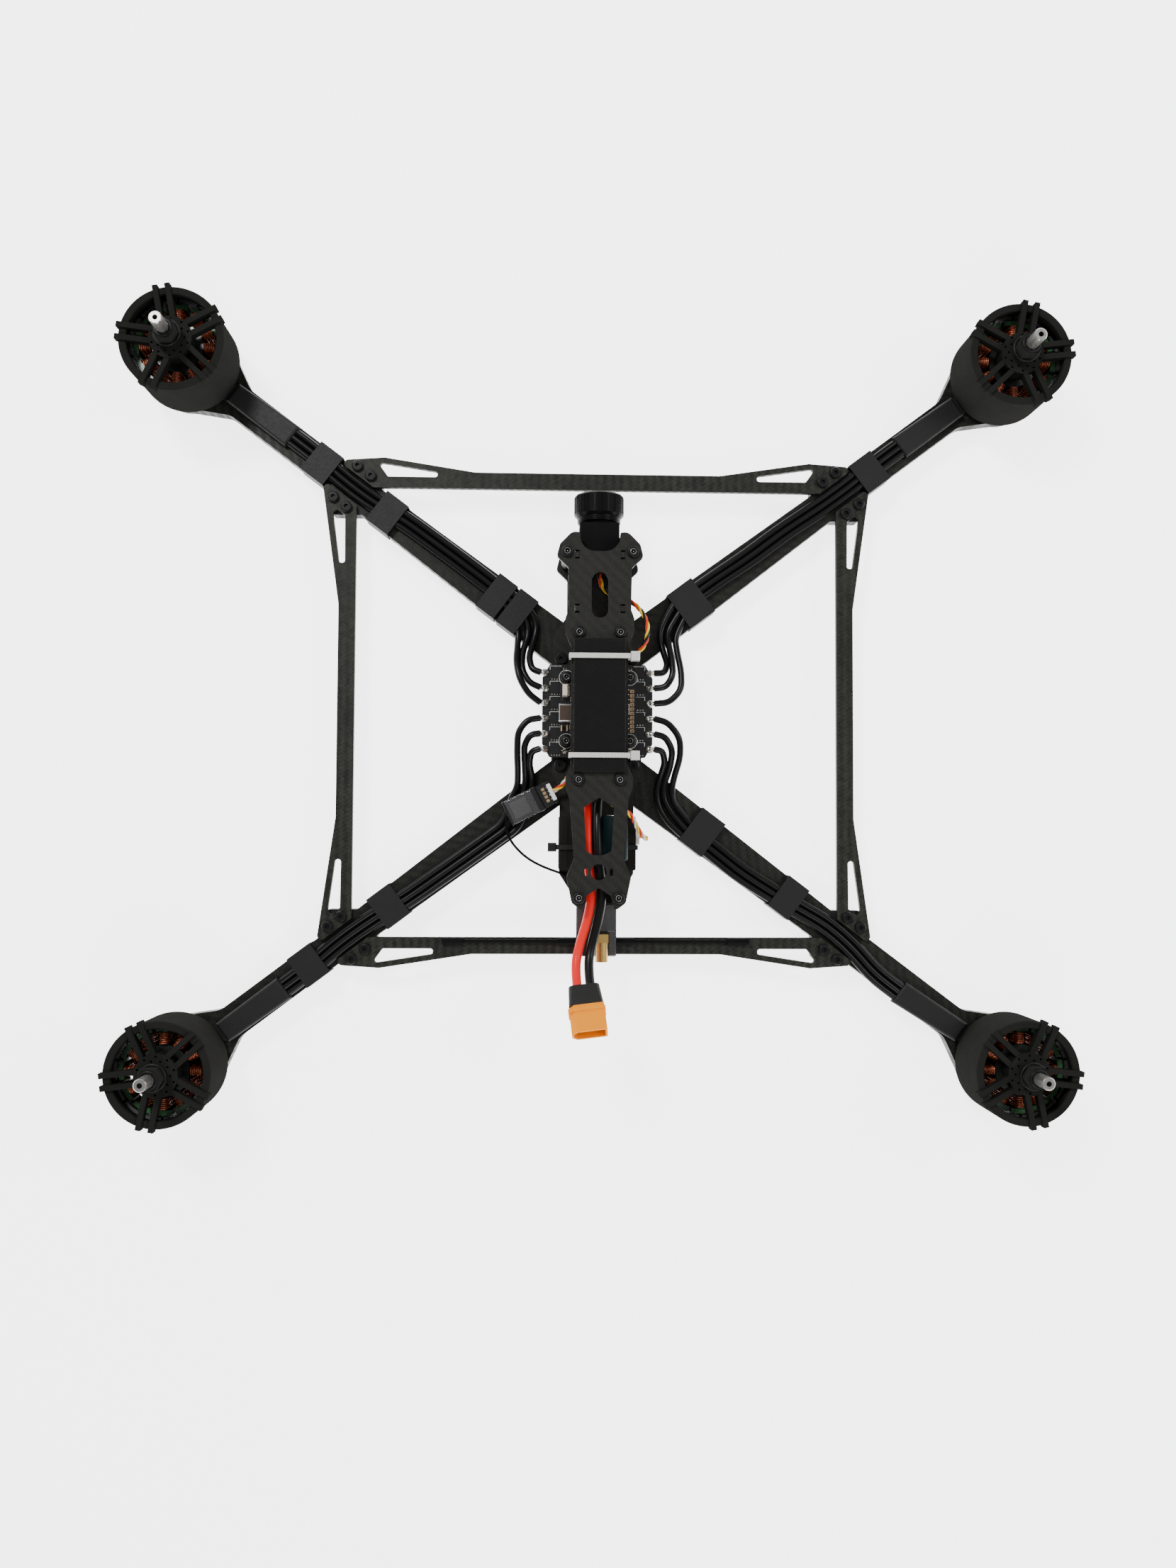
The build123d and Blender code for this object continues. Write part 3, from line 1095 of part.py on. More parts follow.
SLEEVE_T = {  # side offset from the arm's centre line, where the sleeve starts and ends
    "front_left": (1.7, 1.4), "front_right": (1.0, 0.6), "rear_left": (1.7, 1.4), "rear_right": (4.0, 1.4),
}
for corner, (start_t, end_t) in SLEEVE_T.items():
    sx, sy = CORNERS[corner]
    end_half = SLEEVE_HALF - SLEEVE_TAPER
    outline = [on_arm(SLEEVE_S, start_t - SLEEVE_HALF), on_arm(SLEEVE_END_S, end_t - end_half),
               on_arm(SLEEVE_END_S, end_t + end_half), on_arm(SLEEVE_S, start_t + SLEEVE_HALF)]
    wide, narrow = TONGUE_HALF
    tongue = [on_arm(SLEEVE_END_S - 1, end_t - wide), on_arm(TONGUE_END_S, -narrow),
              on_arm(TONGUE_END_S, narrow), on_arm(SLEEVE_END_S - 1, end_t + wide)]
    with BuildPart() as sleeve:
        with BuildSketch(Plane.XY.offset(MID_Z)):
            with BuildLine():
                Polyline(*flip(outline, sx, sy), close=True)
            make_face()
        extrude(amount=SLEEVE_H)
        fillet(sleeve.edges().group_by(Axis.Z)[-1], SLEEVE_ROUND)
        with BuildSketch(Plane.XY.offset(MID_Z)):
            with BuildLine():
                Polyline(*flip(tongue, sx, sy), close=True)
            make_face()
        extrude(amount=TONGUE_H)
    tapes += sleeve.solids()
export_group("wire_tapes", tapes)

# ---- battery lead and plug ----------------------------------------------------------------
PLUG_TURN = 7.0                  # the plug points to the rear, turned and raised by these angles
PLUG_RISE = 35.0
PLUG_START = (-6.6, -130.2, 44.0)
LEAD_HALF_GAP = 3.05
LEAD_STRAIGHT = 11.0
turn, rise = math.radians(PLUG_TURN), math.radians(PLUG_RISE)
plug_axis = Vector(math.sin(turn) * math.cos(rise), -math.cos(turn) * math.cos(rise), math.sin(rise))
plug_side = Vector(math.cos(turn), math.sin(turn), 0)
plug_plane = Plane(origin=PLUG_START, x_dir=plug_side, z_dir=plug_axis)


def lead_end(side):
    """Where one lead enters the plug, and the point before it."""
    entry = Vector(*PLUG_START) + plug_side * (side * LEAD_HALF_GAP)
    return [tuple(entry - plug_axis * LEAD_STRAIGHT), tuple(entry)]


positive_route = [
    (-4.5, LEAD_START_Y, LEAD_Z), (-4.8, -31.0, 22.4), (-4.9, -39.0, 27.6), (-5.2, -47.5, 33.6),
    (-5.3, -59.0, 37.2), (-4.8, -73.0, 38.2), (-2.7, -87.0, 37.4), (-4.7, -99.5, 36.0), (-8.5, -111.5, 35.4),
    *lead_end(-1),
]
negative_route = [
    (4.5, LEAD_START_Y, LEAD_Z), (3.4, -31.0, 22.6), (1.2, -39.0, 28.4), (-0.4, -47.5, 34.8),
    (-0.5, -59.0, 38.4), (0.1, -73.0, 39.0), (2.2, -87.0, 37.8), (0.3, -99.5, 36.2), (-2.8, -111.5, 35.2),
    *lead_end(1),
]
export_group("battery_lead_positive", tube("battery lead +", positive_route, LEAD_R))
export_group("battery_lead_negative", tube("battery lead -", negative_route, LEAD_R))

BOOT_LONG = 10.5
BOOT_W, BOOT_H = 16.0, 8.0
BOOT_TAPER = 1.6
HOUSING_W, HOUSING_H = 16.2, 8.2
HOUSING_LONG = 13.3
CAVITY_DEEP = 8.6
PIN_PITCH = 7.2
PIN_RADIUS = 1.75
PIN_ROOT = 2.5                   # pins set into the plug's floor
PIN_SHORT = 2.0                  # pins end below the plug's face
KEY_BEVEL = 2.4
PLUG_WALL = 1.0
CAVITY_BEVEL = KEY_BEVEL - 0.7 * PLUG_WALL
RIB_AT, RIB_LONG = 1.6, 1.6
RIB_W, RIB_H = 0.9, 0.6          # added to the width and height by the rib round the plug
with BuildPart() as xt60_boot:
    with BuildSketch(plug_plane):
        RectangleRounded(BOOT_W - BOOT_TAPER, BOOT_H - BOOT_TAPER, 2.4)
    with BuildSketch(plug_plane.offset(BOOT_LONG)):
        RectangleRounded(BOOT_W, BOOT_H, 1.6)
    loft()
xt60_boot.part.label = "xt60_boot"
export_step(xt60_boot.part, "parts/xt60_boot.step")


def plug_outline(width, height, bevel):
    """Outline of the plug: a rectangle with two cut corners on one end, which key it."""
    w, h = width / 2, height / 2
    square_end = [(-w + bevel, -h, 0), (w, -h, 0.4), (w, h, 0.4), (-w + bevel, h, 0)]
    return [*square_end, (-w, h - bevel, 0), (-w, -h + bevel, 0)]


with BuildPart() as xt60_housing:
    with BuildSketch(plug_plane.offset(BOOT_LONG)):
        with BuildLine():
            rounded(plug_outline(HOUSING_W, HOUSING_H, KEY_BEVEL))
        make_face()
    extrude(amount=HOUSING_LONG)
    with BuildSketch(plug_plane.offset(BOOT_LONG + RIB_AT)):
        RectangleRounded(HOUSING_W + RIB_W, HOUSING_H + RIB_H, 1.0)
    extrude(amount=RIB_LONG)
    with BuildSketch(plug_plane.offset(BOOT_LONG + HOUSING_LONG)):
        with BuildLine():
            rounded(plug_outline(HOUSING_W - 2 * PLUG_WALL, HOUSING_H - 2 * PLUG_WALL, CAVITY_BEVEL))
        make_face()
    extrude(amount=-CAVITY_DEEP, mode=Mode.SUBTRACT)
    with BuildSketch(plug_plane.offset(BOOT_LONG + HOUSING_LONG - CAVITY_DEEP)):
        with GridLocations(PIN_PITCH, 0, 2, 1):
            Circle(PIN_RADIUS)
    extrude(amount=-PIN_ROOT, mode=Mode.SUBTRACT)
xt60_housing.part.label = "xt60_housing"
export_step(xt60_housing.part, "parts/xt60_housing.step")

with BuildPart() as xt60_pins:
    with BuildSketch(plug_plane.offset(BOOT_LONG + HOUSING_LONG - CAVITY_DEEP - PIN_ROOT)):
        with GridLocations(PIN_PITCH, 0, 2, 1):
            Circle(PIN_RADIUS)
    extrude(amount=PIN_ROOT + CAVITY_DEEP - PIN_SHORT)
    chamfer(xt60_pins.edges().group_by(Axis.Z)[-1], 0.4)
xt60_pins.part.label = "xt60_pins"
export_step(xt60_pins.part, "parts/xt60_pins.step")

# ---- signal cables ------------------------------------------------------------------------
CABLE_R = 1.0
COAX_R = 0.6
CAMERA_PLUG_REAR = 65.7
FC_PLUG_Z = 29.1
camera_route = [
    (0.0, CAMERA_PLUG_REAR, 28.0), (0.6, 60.5, 28.2), (4.0, 55.8, 29.6), (10.0, 53.4, 31.6),
    (16.6, 50.6, 33.2), (21.6, 45.0, 33.6), (23.8, 37.4, 33.0), (22.0, 30.2, 31.8), (17.4, 25.6, 30.9),
    (12.4, 23.8, 30.2),
    (8.4, 23.2, 29.8), (4.9, 22.5, 29.5), (CAMERA_SOCKET_X, 20.5, FC_PLUG_Z),
    (CAMERA_SOCKET_X, FC_SOCKET_FACE, FC_PLUG_Z),
]
receiver_route = [
    (-20.5, -38.6, 19.8), (-17.4, -37.0, 20.6), (-14.2, -32.5, 23.4), (-11.6, -27.2, 26.8),
    (RECEIVER_SOCKET_X, -21.8, FC_PLUG_Z), (RECEIVER_SOCKET_X, -FC_SOCKET_FACE, FC_PLUG_Z),
]
video_route = [
    (VIDEO_SOCKET_X, -FC_SOCKET_FACE, FC_PLUG_Z), (VIDEO_SOCKET_X, -21.6, FC_PLUG_Z), (5.4, -25.8, 30.8),
    (5.8, -31.2, 34.2), (4.0, -37.0, 37.8), (3.4, -42.4, 40.0), (6.8, -46.2, 40.4), (12.0, -48.2, 38.0),
    (15.8, -50.8, 34.6), (18.2, -55.6, 31.0), (21.6, -60.6, 26.6), (23.9, -62.4, 22.8),
    (23.6, VTX_PLUG_Y, VTX_PLUG_Z), (VTX_HALF + VTX_PLUG, VTX_PLUG_Y, VTX_PLUG_Z),
]
coax_route = [
    (-43.3, -50.3, 18.0), (-44.4, -55.8, 17.2), (-42.2, -62.6, 16.2), (-37.2, -68.6, 15.6),
    (-31.4, -73.0, 15.2), (-24.6, -76.2, 14.9), (-17.6, -78.6, 14.7), (-10.8, -81.2, 14.6),
    (-5.0, -85.4, 14.6), (-2.6, -89.8, 14.6), (-2.2, -93.9, 14.6),
]
export_group("camera_cable", tube("camera cable", camera_route, CABLE_R))
export_group("receiver_cable", tube("receiver cable", receiver_route, CABLE_R))
export_group("video_cable", tube("video cable", video_route, CABLE_R))
export_group("antenna_coax", tube("antenna coax", coax_route, COAX_R))
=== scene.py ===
import json
import math
import random
import bmesh
import bpy
from mathutils import Matrix, Vector


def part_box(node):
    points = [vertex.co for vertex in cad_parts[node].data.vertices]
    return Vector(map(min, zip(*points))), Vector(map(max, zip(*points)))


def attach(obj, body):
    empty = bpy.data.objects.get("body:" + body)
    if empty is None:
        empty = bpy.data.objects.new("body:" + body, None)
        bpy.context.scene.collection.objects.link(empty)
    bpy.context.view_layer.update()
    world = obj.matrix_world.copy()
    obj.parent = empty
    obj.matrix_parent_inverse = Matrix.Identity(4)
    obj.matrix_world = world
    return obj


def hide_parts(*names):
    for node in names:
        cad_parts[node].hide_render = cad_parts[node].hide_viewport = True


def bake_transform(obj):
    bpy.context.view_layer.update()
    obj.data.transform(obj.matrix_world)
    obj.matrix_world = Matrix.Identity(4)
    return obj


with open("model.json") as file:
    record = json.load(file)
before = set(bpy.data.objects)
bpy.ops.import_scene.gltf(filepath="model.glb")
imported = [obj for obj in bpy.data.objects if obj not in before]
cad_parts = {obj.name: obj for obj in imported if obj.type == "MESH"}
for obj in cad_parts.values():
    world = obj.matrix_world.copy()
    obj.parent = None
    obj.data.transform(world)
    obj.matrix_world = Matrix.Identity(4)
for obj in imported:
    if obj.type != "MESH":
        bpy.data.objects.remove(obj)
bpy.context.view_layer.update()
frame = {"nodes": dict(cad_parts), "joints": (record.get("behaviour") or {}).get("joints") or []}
nodes = frame["nodes"]
MM = 0.001
CORNERS = {"front_left": (-1, 1), "front_right": (1, 1), "rear_left": (-1, -1), "rear_right": (1, -1)}
SPIN = {j["child"]: Vector(j["pos_m"]) for j in frame["joints"] if j["name"].startswith("motor_spin")}
TILT = next(Vector(j["pos_m"]) for j in frame["joints"] if j["name"] == "camera_tilt")


def mm(*values):
    """A point given in millimetres, in metres."""
    return Vector(values) * MM


# ---- view camera --------------------------------------------------------------------------
camera = bpy.data.objects.new("camera", bpy.data.cameras.new("camera"))
bpy.context.collection.objects.link(camera)
camera.location = (-0.02415, -0.05955, 0.6047)
camera.rotation_euler = (0.041, -0.034, 0.005)
camera.data.sensor_fit = "HORIZONTAL"
camera.data.sensor_width = 36
camera.data.lens = 37.04
camera.data.clip_start = 0.01
bpy.context.scene.camera = camera


# ---- mesh helpers -------------------------------------------------------------------------
def piece(name, mesh, material, body="frame", smooth=True):
    """A new object from a bmesh, riding on a body, or left free."""
    data = bpy.data.meshes.new(name)
    bmesh.ops.recalc_face_normals(mesh, faces=mesh.faces)
    mesh.to_mesh(data)
    mesh.free()
    obj = bpy.data.objects.new(name, data)
    bpy.context.collection.objects.link(obj)
    for m in material if isinstance(material, list) else [material]:
        data.materials.append(m)
    for face in data.polygons:
        face.use_smooth = smooth
    if body:
        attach(obj, body)
    return obj


def soften(obj, width, segments=2):
    """Rounded edges on a piece of sharp blocks."""
    bevel = obj.modifiers.new("bevel", "BEVEL")
    bevel.width = width * MM
    bevel.segments = segments
    bevel.limit_method = "ANGLE"
    bevel.harden_normals = True
    return obj


def block(mesh, centre, size, place=Matrix(), index=0):
    """A box of the given size, in millimetres."""
    box = bmesh.ops.create_cube(mesh, size=1.0, matrix=place @ Matrix.Translation(mm(*centre))
                                @ Matrix.Diagonal((*mm(*size), 1)))
    for face in {f for v in box["verts"] for f in v.link_faces}:
        face.material_index = index


def disc(mesh, centre, radius, height, place=Matrix(), sides=32, top=None):
    """An upright cylinder or cone standing on its centre, in millimetres."""
    top = radius if top is None else top
    up = place @ Matrix.Translation(mm(centre[0], centre[1], centre[2] + height / 2))
    bmesh.ops.create_cone(mesh, cap_ends=True, segments=sides, radius1=radius * MM, radius2=top * MM,
                          depth=height * MM, matrix=up)


def lathe(mesh, profile, place=Matrix(), sides=48, closed=False):
    """A shape turned about the local Z axis from (radius, z) points in millimetres."""
    rings = []
    for k in range(sides):
        a = 2 * math.pi * k / sides
        rings.append([mesh.verts.new(place @ mm(r * math.cos(a), r * math.sin(a), z)) for r, z in profile])
    span = len(profile) if closed else len(profile) - 1
    for k in range(sides):
        here, after = rings[k], rings[(k + 1) % sides]
        for i in range(span):
            j = (i + 1) % len(profile)
            mesh.faces.new((here[i], after[i], after[j], here[j]))
    if not closed:
        for end in (0, -1):
            mesh.faces.new([ring[end] for ring in rings])


def strand(mesh, path, radius, sides=10, index=0, closed=False):
    """A tube of that radius in metres along a path of points, carried without twist."""
    count = len(path)
    rings = []
    normal = None
    for i, point in enumerate(path):
        ahead = path[(i + 1) % count] if closed or i < count - 1 else point
        behind = path[i - 1] if closed or i > 0 else point
        along = (ahead - behind).normalized()
        if normal is None:
            normal = along.orthogonal().normalized()
        normal = (normal - along * normal.dot(along)).normalized()
        across = along.cross(normal)
        rings.append([
            mesh.verts.new(point + (normal * math.cos(2 * math.pi * k / sides)
                                    + across * math.sin(2 * math.pi * k / sides)) * radius)
            for k in range(sides)])
    for i in range(count if closed else count - 1):
        here, after = rings[i], rings[(i + 1) % count]
        turn = 0
        if closed and i == count - 1:
            turn = min(range(sides), key=lambda s: (here[0].co - after[s].co).length)
        for k in range(sides):
            face = mesh.faces.new((here[k], here[(k + 1) % sides],
                                   after[(k + 1 + turn) % sides], after[(k + turn) % sides]))
            face.material_index = index
    if not closed:
        for ring in (rings[0], rings[-1]):
            face = mesh.faces.new(ring)
            face.material_index = index


def nurbs(name, route, bevel=0.0, steps=10):
    """A smooth curve object with the route's points, in millimetres, as its control points."""
    data = bpy.data.curves.new(name, "CURVE")
    data.dimensions = "3D"
    data.resolution_u = steps
    data.bevel_depth = bevel * MM
    data.bevel_resolution = 5
    data.use_fill_caps = True
    spline = data.splines.new("NURBS")
    spline.points.add(len(route) - 1)
    for point, place in zip(spline.points, route):
        point.co = (*mm(*place), 1)
    spline.order_u = 3
    spline.use_endpoint_u = True
    obj = bpy.data.objects.new(name, data)
    bpy.context.collection.objects.link(obj)
    return obj


def line_of(route, steps=10):
    """Points along the route's NURBS spline, in order."""
    curve = nurbs("line", route, steps=steps)
    bpy.context.view_layer.update()
    mesh = bpy.data.meshes.new_from_object(curve.evaluated_get(bpy.context.evaluated_depsgraph_get()))
    points = [v.co.copy() for v in mesh.vertices]
    bpy.data.objects.remove(curve)
    bpy.data.meshes.remove(mesh)
    return points


def twisted(path, count, offset, pitch):
    """Paths of strands wound round a centre path, all lengths in metres."""
    travelled = 0.0
    normal = None
    paths = [[] for _ in range(count)]
    for i, point in enumerate(path):
        ahead = path[min(i + 1, len(path) - 1)]
        behind = path[max(i - 1, 0)]
        along = (ahead - behind).normalized()
        if normal is None:
            normal = along.orthogonal().normalized()
        normal = (normal - along * normal.dot(along)).normalized()
        across = along.cross(normal)
        if i:
            travelled += (point - path[i - 1]).length
        for k in range(count):
            a = 2 * math.pi * (travelled / pitch + k / count)
            paths[k].append(point + (normal * math.cos(a) + across * math.sin(a)) * offset)
    return paths


# ---- materials ----------------------------------------------------------------------------
class Shader:
    """A node material with object coordinates ready to use."""

    def __init__(self, name):
        self.material = bpy.data.materials.new(name)
        self.material.use_nodes = True
        self.tree = self.material.node_tree
        self.surface = self.tree.nodes["Principled BSDF"]
        self.place = self.tree.nodes.new("ShaderNodeTexCoord").outputs["Object"]

    def node(self, kind, inputs=(), **settings):
        made = self.tree.nodes.new(kind)
        for key, value in settings.items():
            setattr(made, key, value)
        for key, value in dict(inputs).items():
            self.feed(made.inputs[key], value)
        return made

    def feed(self, socket, value):
        if isinstance(value, bpy.types.NodeSocket):
            self.tree.links.new(value, socket)
        else:
            socket.default_value = value

    def math(self, operation, a, b=0.0, c=0.0):
        return self.node("ShaderNodeMath", {0: a, 1: b, 2: c}, operation=operation).outputs[0]

    def noise(self, scale, detail=3.0, rough=0.55):
        made = self.node("ShaderNodeTexNoise", {"Vector": self.place, "Scale": scale, "Detail": detail,
                                                "Roughness": rough})
        return made.outputs["Fac"]

    def between(self, factor, low, high):
        """A value running from low to high as the factor runs from 0 to 1."""
        made = self.node("ShaderNodeMapRange", {"Value": factor, "To Min": low, "To Max": high})
        return made.outputs["Result"]

    def blend(self, factor, a, b):
        made = self.node("ShaderNodeMix", data_type="RGBA")
        self.feed(made.inputs["Factor"], factor)
        self.feed(made.inputs["A"], a)
        self.feed(made.inputs["B"], b)
        return made.outputs["Result"]

    def set(self, **values):
        for key, value in values.items():
            self.feed(self.surface.inputs[key.replace("_", " ")], value)

    def bump(self, height, strength, distance):
        made = self.node("ShaderNodeBump", {"Height": height, "Strength": strength, "Distance": distance})
        self.feed(self.surface.inputs["Normal"], made.outputs["Normal"])


def rgb(r, g, b):
    return (r, g, b, 1.0)


def solid(name, colour, rough, metal=0.0, spread=0.25, grain=900.0, rise=0.00004, coat=0.0, sheen=0.0,
          strength=0.35, specular=0.5):
    """A plain finish with slight variation of colour and roughness and a fine surface grain."""
    s = Shader(name)
    broad = s.noise(140.0, 4.0)
    fine = s.noise(grain, 3.0)
    dark = rgb(*[c * (1 - spread) for c in colour])
    light = rgb(*[min(1.0, c * (1 + spread)) for c in colour])
    s.set(Base_Color=s.blend(broad, dark, light), Metallic=metal, Coat_Weight=coat, Sheen_Weight=sheen,
          Specular_IOR_Level=specular)
    s.set(Roughness=s.between(fine, max(0.03, rough - 0.08), min(1.0, rough + 0.10)))
    s.bump(fine, strength, rise)
    return s.material


def carbon(name, turn, dark=(0.004, 0.0042, 0.0035), light=(0.022, 0.022, 0.018)):
    """Twill-woven carbon plate: tows two over, two under, turned to the plate's own direction, with a painted
    highlight along the crown of each tow.
    """
    s = Shader(name)
    turned = s.node("ShaderNodeMapping", {"Vector": s.place, "Rotation": (0, 0, math.radians(turn)),
                                          "Scale": (700, 700, 700)})
    axes = s.node("ShaderNodeSeparateXYZ", {"Vector": turned.outputs["Vector"]})
    u, v = axes.outputs["X"], axes.outputs["Y"]
    step = s.math("ADD", s.math("FLOOR", u), s.math("FLOOR", v))
    over = s.math("LESS_THAN", s.math("FLOORED_MODULO", step, 4.0), 1.5)
    ribs = [s.math("ABSOLUTE", s.math("SINE", s.math("MULTIPLY", w, math.pi))) for w in (u, v)]
    crown = s.math("ADD", s.math("MULTIPLY", ribs[0], over),
                   s.math("MULTIPLY", ribs[1], s.math("SUBTRACT", 1.0, over)))
    fibre = s.node("ShaderNodeTexNoise", {"Vector": turned.outputs["Vector"], "Scale": 2.2, "Detail": 6.0})
    patches = s.noise(38.0, 2.0)
    tows = s.node("ShaderNodeTexVoronoi", {"Vector": turned.outputs["Vector"], "Scale": 0.8},
                  distance="CHEBYCHEV").outputs["Color"]
    tone = s.node("ShaderNodeSeparateColor", {"Color": tows}).outputs["Red"]
    # the crown of each tow is painted lighter than its edges: a painted highlight
    shade = s.math("ADD", s.math("MULTIPLY", over, 0.22), s.math("MULTIPLY", crown, 0.18))
    shade = s.math("ADD", shade, s.math("MULTIPLY", tone, 0.35))
    shade = s.math("MULTIPLY", shade, s.between(patches, 0.4, 1.3))
    shade = s.math("ADD", shade, s.math("MULTIPLY", fibre.outputs["Fac"], 0.16))
    top = s.blend(shade, rgb(*dark), rgb(*light))
    layer = s.node("ShaderNodeTexWave", {"Vector": s.place, "Scale": 900.0, "Distortion": 1.5},
                   bands_direction="Z")
    side = s.blend(layer.outputs["Fac"], rgb(0.006, 0.006, 0.006), rgb(0.022, 0.022, 0.021))
    normal = s.node("ShaderNodeNewGeometry").outputs["Normal"]
    upright = s.math("ABSOLUTE", s.node("ShaderNodeSeparateXYZ", {"Vector": normal}).outputs["Z"])
    flat = s.math("GREATER_THAN", upright, 0.5)
    s.set(Base_Color=s.blend(flat, side, top), Coat_Weight=0.03, Coat_Roughness=0.4, Specular_IOR_Level=0.13)
    s.set(Roughness=s.blend(over, rgb(0.42, 0.42, 0.42), rgb(0.56, 0.56, 0.56)))
    s.bump(crown, 0.3, 0.00006)
    return s.material


def silicone(name, colour):
    """Soft glossy wire insulation with faint dust and flow marks."""
    s = Shader(name)
    dust = s.noise(420.0, 5.0)
    dusty = rgb(*[c * 0.85 + 0.004 for c in colour])
    s.set(Base_Color=s.blend(s.between(dust, 0.0, 0.3), rgb(*colour), dusty))
    s.set(Roughness=s.between(s.noise(60.0), 0.26, 0.38), Coat_Weight=0.03, Coat_Roughness=0.2,
          Specular_IOR_Level=0.16)
    s.bump(s.noise(260.0, 2.0), 0.15, 0.0001)
    return s.material


def board(name):
    """Black solder mask over copper tracks that barely show, with small plated holes."""
    s = Shader(name)
    tracks = s.node("ShaderNodeTexBrick", {
        "Vector": s.place, "Scale": 330.0, "Color1": rgb(0.010, 0.011, 0.012),
        "Color2": rgb(0.019, 0.021, 0.022), "Mortar": rgb(0.006, 0.006, 0.007), "Mortar Size": 0.09})
    cells = s.node("ShaderNodeTexVoronoi", {"Vector": s.place, "Scale": 420.0})
    hole = s.math("LESS_THAN", cells.outputs["Distance"], 0.13)
    s.set(Base_Color=s.blend(s.math("MULTIPLY", hole, 0.3), tracks.outputs["Color"], rgb(0.12, 0.10, 0.07)))
    s.set(Roughness=s.between(s.noise(300.0), 0.22, 0.4), Coat_Weight=0.15, Coat_Roughness=0.15,
          Specular_IOR_Level=0.3)
    s.bump(tracks.outputs["Fac"], 0.25, 0.00003)
    return s.material


def machined(name, colour, rough, rings=1400.0):
    """Turned or brushed metal with fine tool lines."""
    s = Shader(name)
    lines = s.node("ShaderNodeTexWave", {"Vector": s.place, "Scale": rings, "Distortion": 3.0, "Detail": 3.0},
                   bands_direction="Z")
    s.set(Base_Color=s.blend(s.noise(180.0), rgb(*[c * 0.8 for c in colour]), rgb(*colour)), Metallic=1.0)
    s.set(Roughness=s.between(lines.outputs["Fac"], rough * 0.8, rough * 1.3))
    s.bump(lines.outputs["Fac"], 0.12, 0.00003)
    return s.material


HUB_SHADE_R = 17.6               # inside this radius the core is painted near black as shade under the hub, green outside; in millimetres


def stator(name):
    """Laminated core, green on the tooth tips and painted near black further in as shade under the hub."""
    s = Shader(name)
    axes = s.node("ShaderNodeSeparateXYZ", {"Vector": s.place})
    off = [s.math("SUBTRACT", s.math("ABSOLUTE", axes.outputs[w]), at)
           for w, at in (("X", MOTOR_AT.x), ("Y", MOTOR_AT.y))]
    squares = [s.math("MULTIPLY", side, side) for side in off]
    reach = s.math("SQRT", s.math("ADD", *squares))
    tip = s.math("GREATER_THAN", reach, HUB_SHADE_R * MM)
    green = s.blend(s.noise(300.0), rgb(0.012, 0.050, 0.018), rgb(0.060, 0.170, 0.070))
    # inside the shade radius the core is painted near black: painted shade under the hub; green outside
    s.set(Base_Color=s.blend(tip, rgb(0.006, 0.010, 0.007), green), Coat_Weight=0.3, Coat_Roughness=0.2)
    s.set(Roughness=s.between(s.noise(900.0), 0.3, 0.5))
    s.bump(s.noise(700.0), 0.3, 0.0001)
    return s.material


def ribbed(name, colour):
    """Nylon tie with fine teeth across the band, painted darker in the grooves as shade."""
    s = Shader(name)
    teeth = s.node("ShaderNodeTexWave", {"Vector": s.place, "Scale": 290.0}, bands_direction="X")
    shade = s.blend(s.noise(160.0), rgb(*[c * 0.78 for c in colour]), rgb(*colour))
    # the grooves between the teeth are painted darker: painted shade
    painted_groove_shade = s.math("MULTIPLY", teeth.outputs["Fac"], 0.3)
    s.set(Base_Color=s.blend(painted_groove_shade, shade, rgb(*[c * 0.6 for c in colour])), Roughness=0.38)
    s.bump(teeth.outputs["Fac"], 0.5, 0.0001)
    return s.material


def clear(name):
    """Thin clear heat-shrink with wrinkles."""
    s = Shader(name)
    s.set(Base_Color=rgb(0.9, 0.9, 0.92), Roughness=0.12, Transmission_Weight=0.9, IOR=1.2, Alpha=0.35,
          Coat_Weight=0.8)
    s.bump(s.noise(240.0, 4.0), 0.6, 0.0003)
    return s.material


MOTOR_AT = SPIN["rotor_front_right"]
ARM_TURN = math.degrees(math.atan2(0.6, 0.8))
CARBON = carbon("carbon_plate", 0, dark=(0.011, 0.011, 0.0095), light=(0.020, 0.0195, 0.017))
CARBON_ARM = {name: carbon(f"carbon_arm_{name}", -sx * sy * ARM_TURN) for name, (sx, sy) in CORNERS.items()}
CARBON_BRACE = carbon("carbon_brace", 45, light=(0.036, 0.037, 0.030))
BLACK_METAL = solid("black_anodised", (0.0145, 0.0145, 0.0135), 0.6, spread=0.15, grain=1500, specular=0.0)
BLACK_OXIDE = solid("black_oxide", (0.007, 0.007, 0.0075), 0.36, grain=1800, specular=0.14)
DARK_STEEL = solid("screw_rim", (0.30, 0.30, 0.29), 0.26, metal=0.9, grain=1500)
BLACK_PLASTIC = solid("black_plastic", (0.006, 0.006, 0.0065), 0.44, grain=1100, specular=0.02)
GLOSS_BLACK = solid("gloss_black", (0.004, 0.004, 0.0045), 0.25, grain=500, strength=0.08, specular=0.06)
CHIP = solid("chip_black", (0.008, 0.008, 0.0085), 0.36, grain=2200, specular=0.3)
TAPE = solid("tape_black", (0.007, 0.007, 0.0075), 0.55, grain=700, rise=0.0002, strength=0.5,
             specular=0.25)
SHRINK = solid("shrink_black", (0.005, 0.005, 0.0055), 0.45, grain=250, rise=0.0003, strength=0.4,
               specular=0.3)
STEEL = machined("steel", (0.62, 0.62, 0.63), 0.24)
SHAFT = machined("shaft_steel", (0.36, 0.35, 0.335), 0.3)
MAGNET = machined("nickel", (0.55, 0.55, 0.56), 0.3)
BRASS = machined("brass_gold", (0.62, 0.42, 0.14), 0.32)
GOLD_PAD = solid("gold_pad", (0.36, 0.235, 0.12), 0.38, metal=0.4, grain=1600)
SOLDER = solid("solder", (0.62, 0.60, 0.55), 0.25, metal=0.95, spread=0.35, grain=700, rise=0.0003,
               strength=0.9)
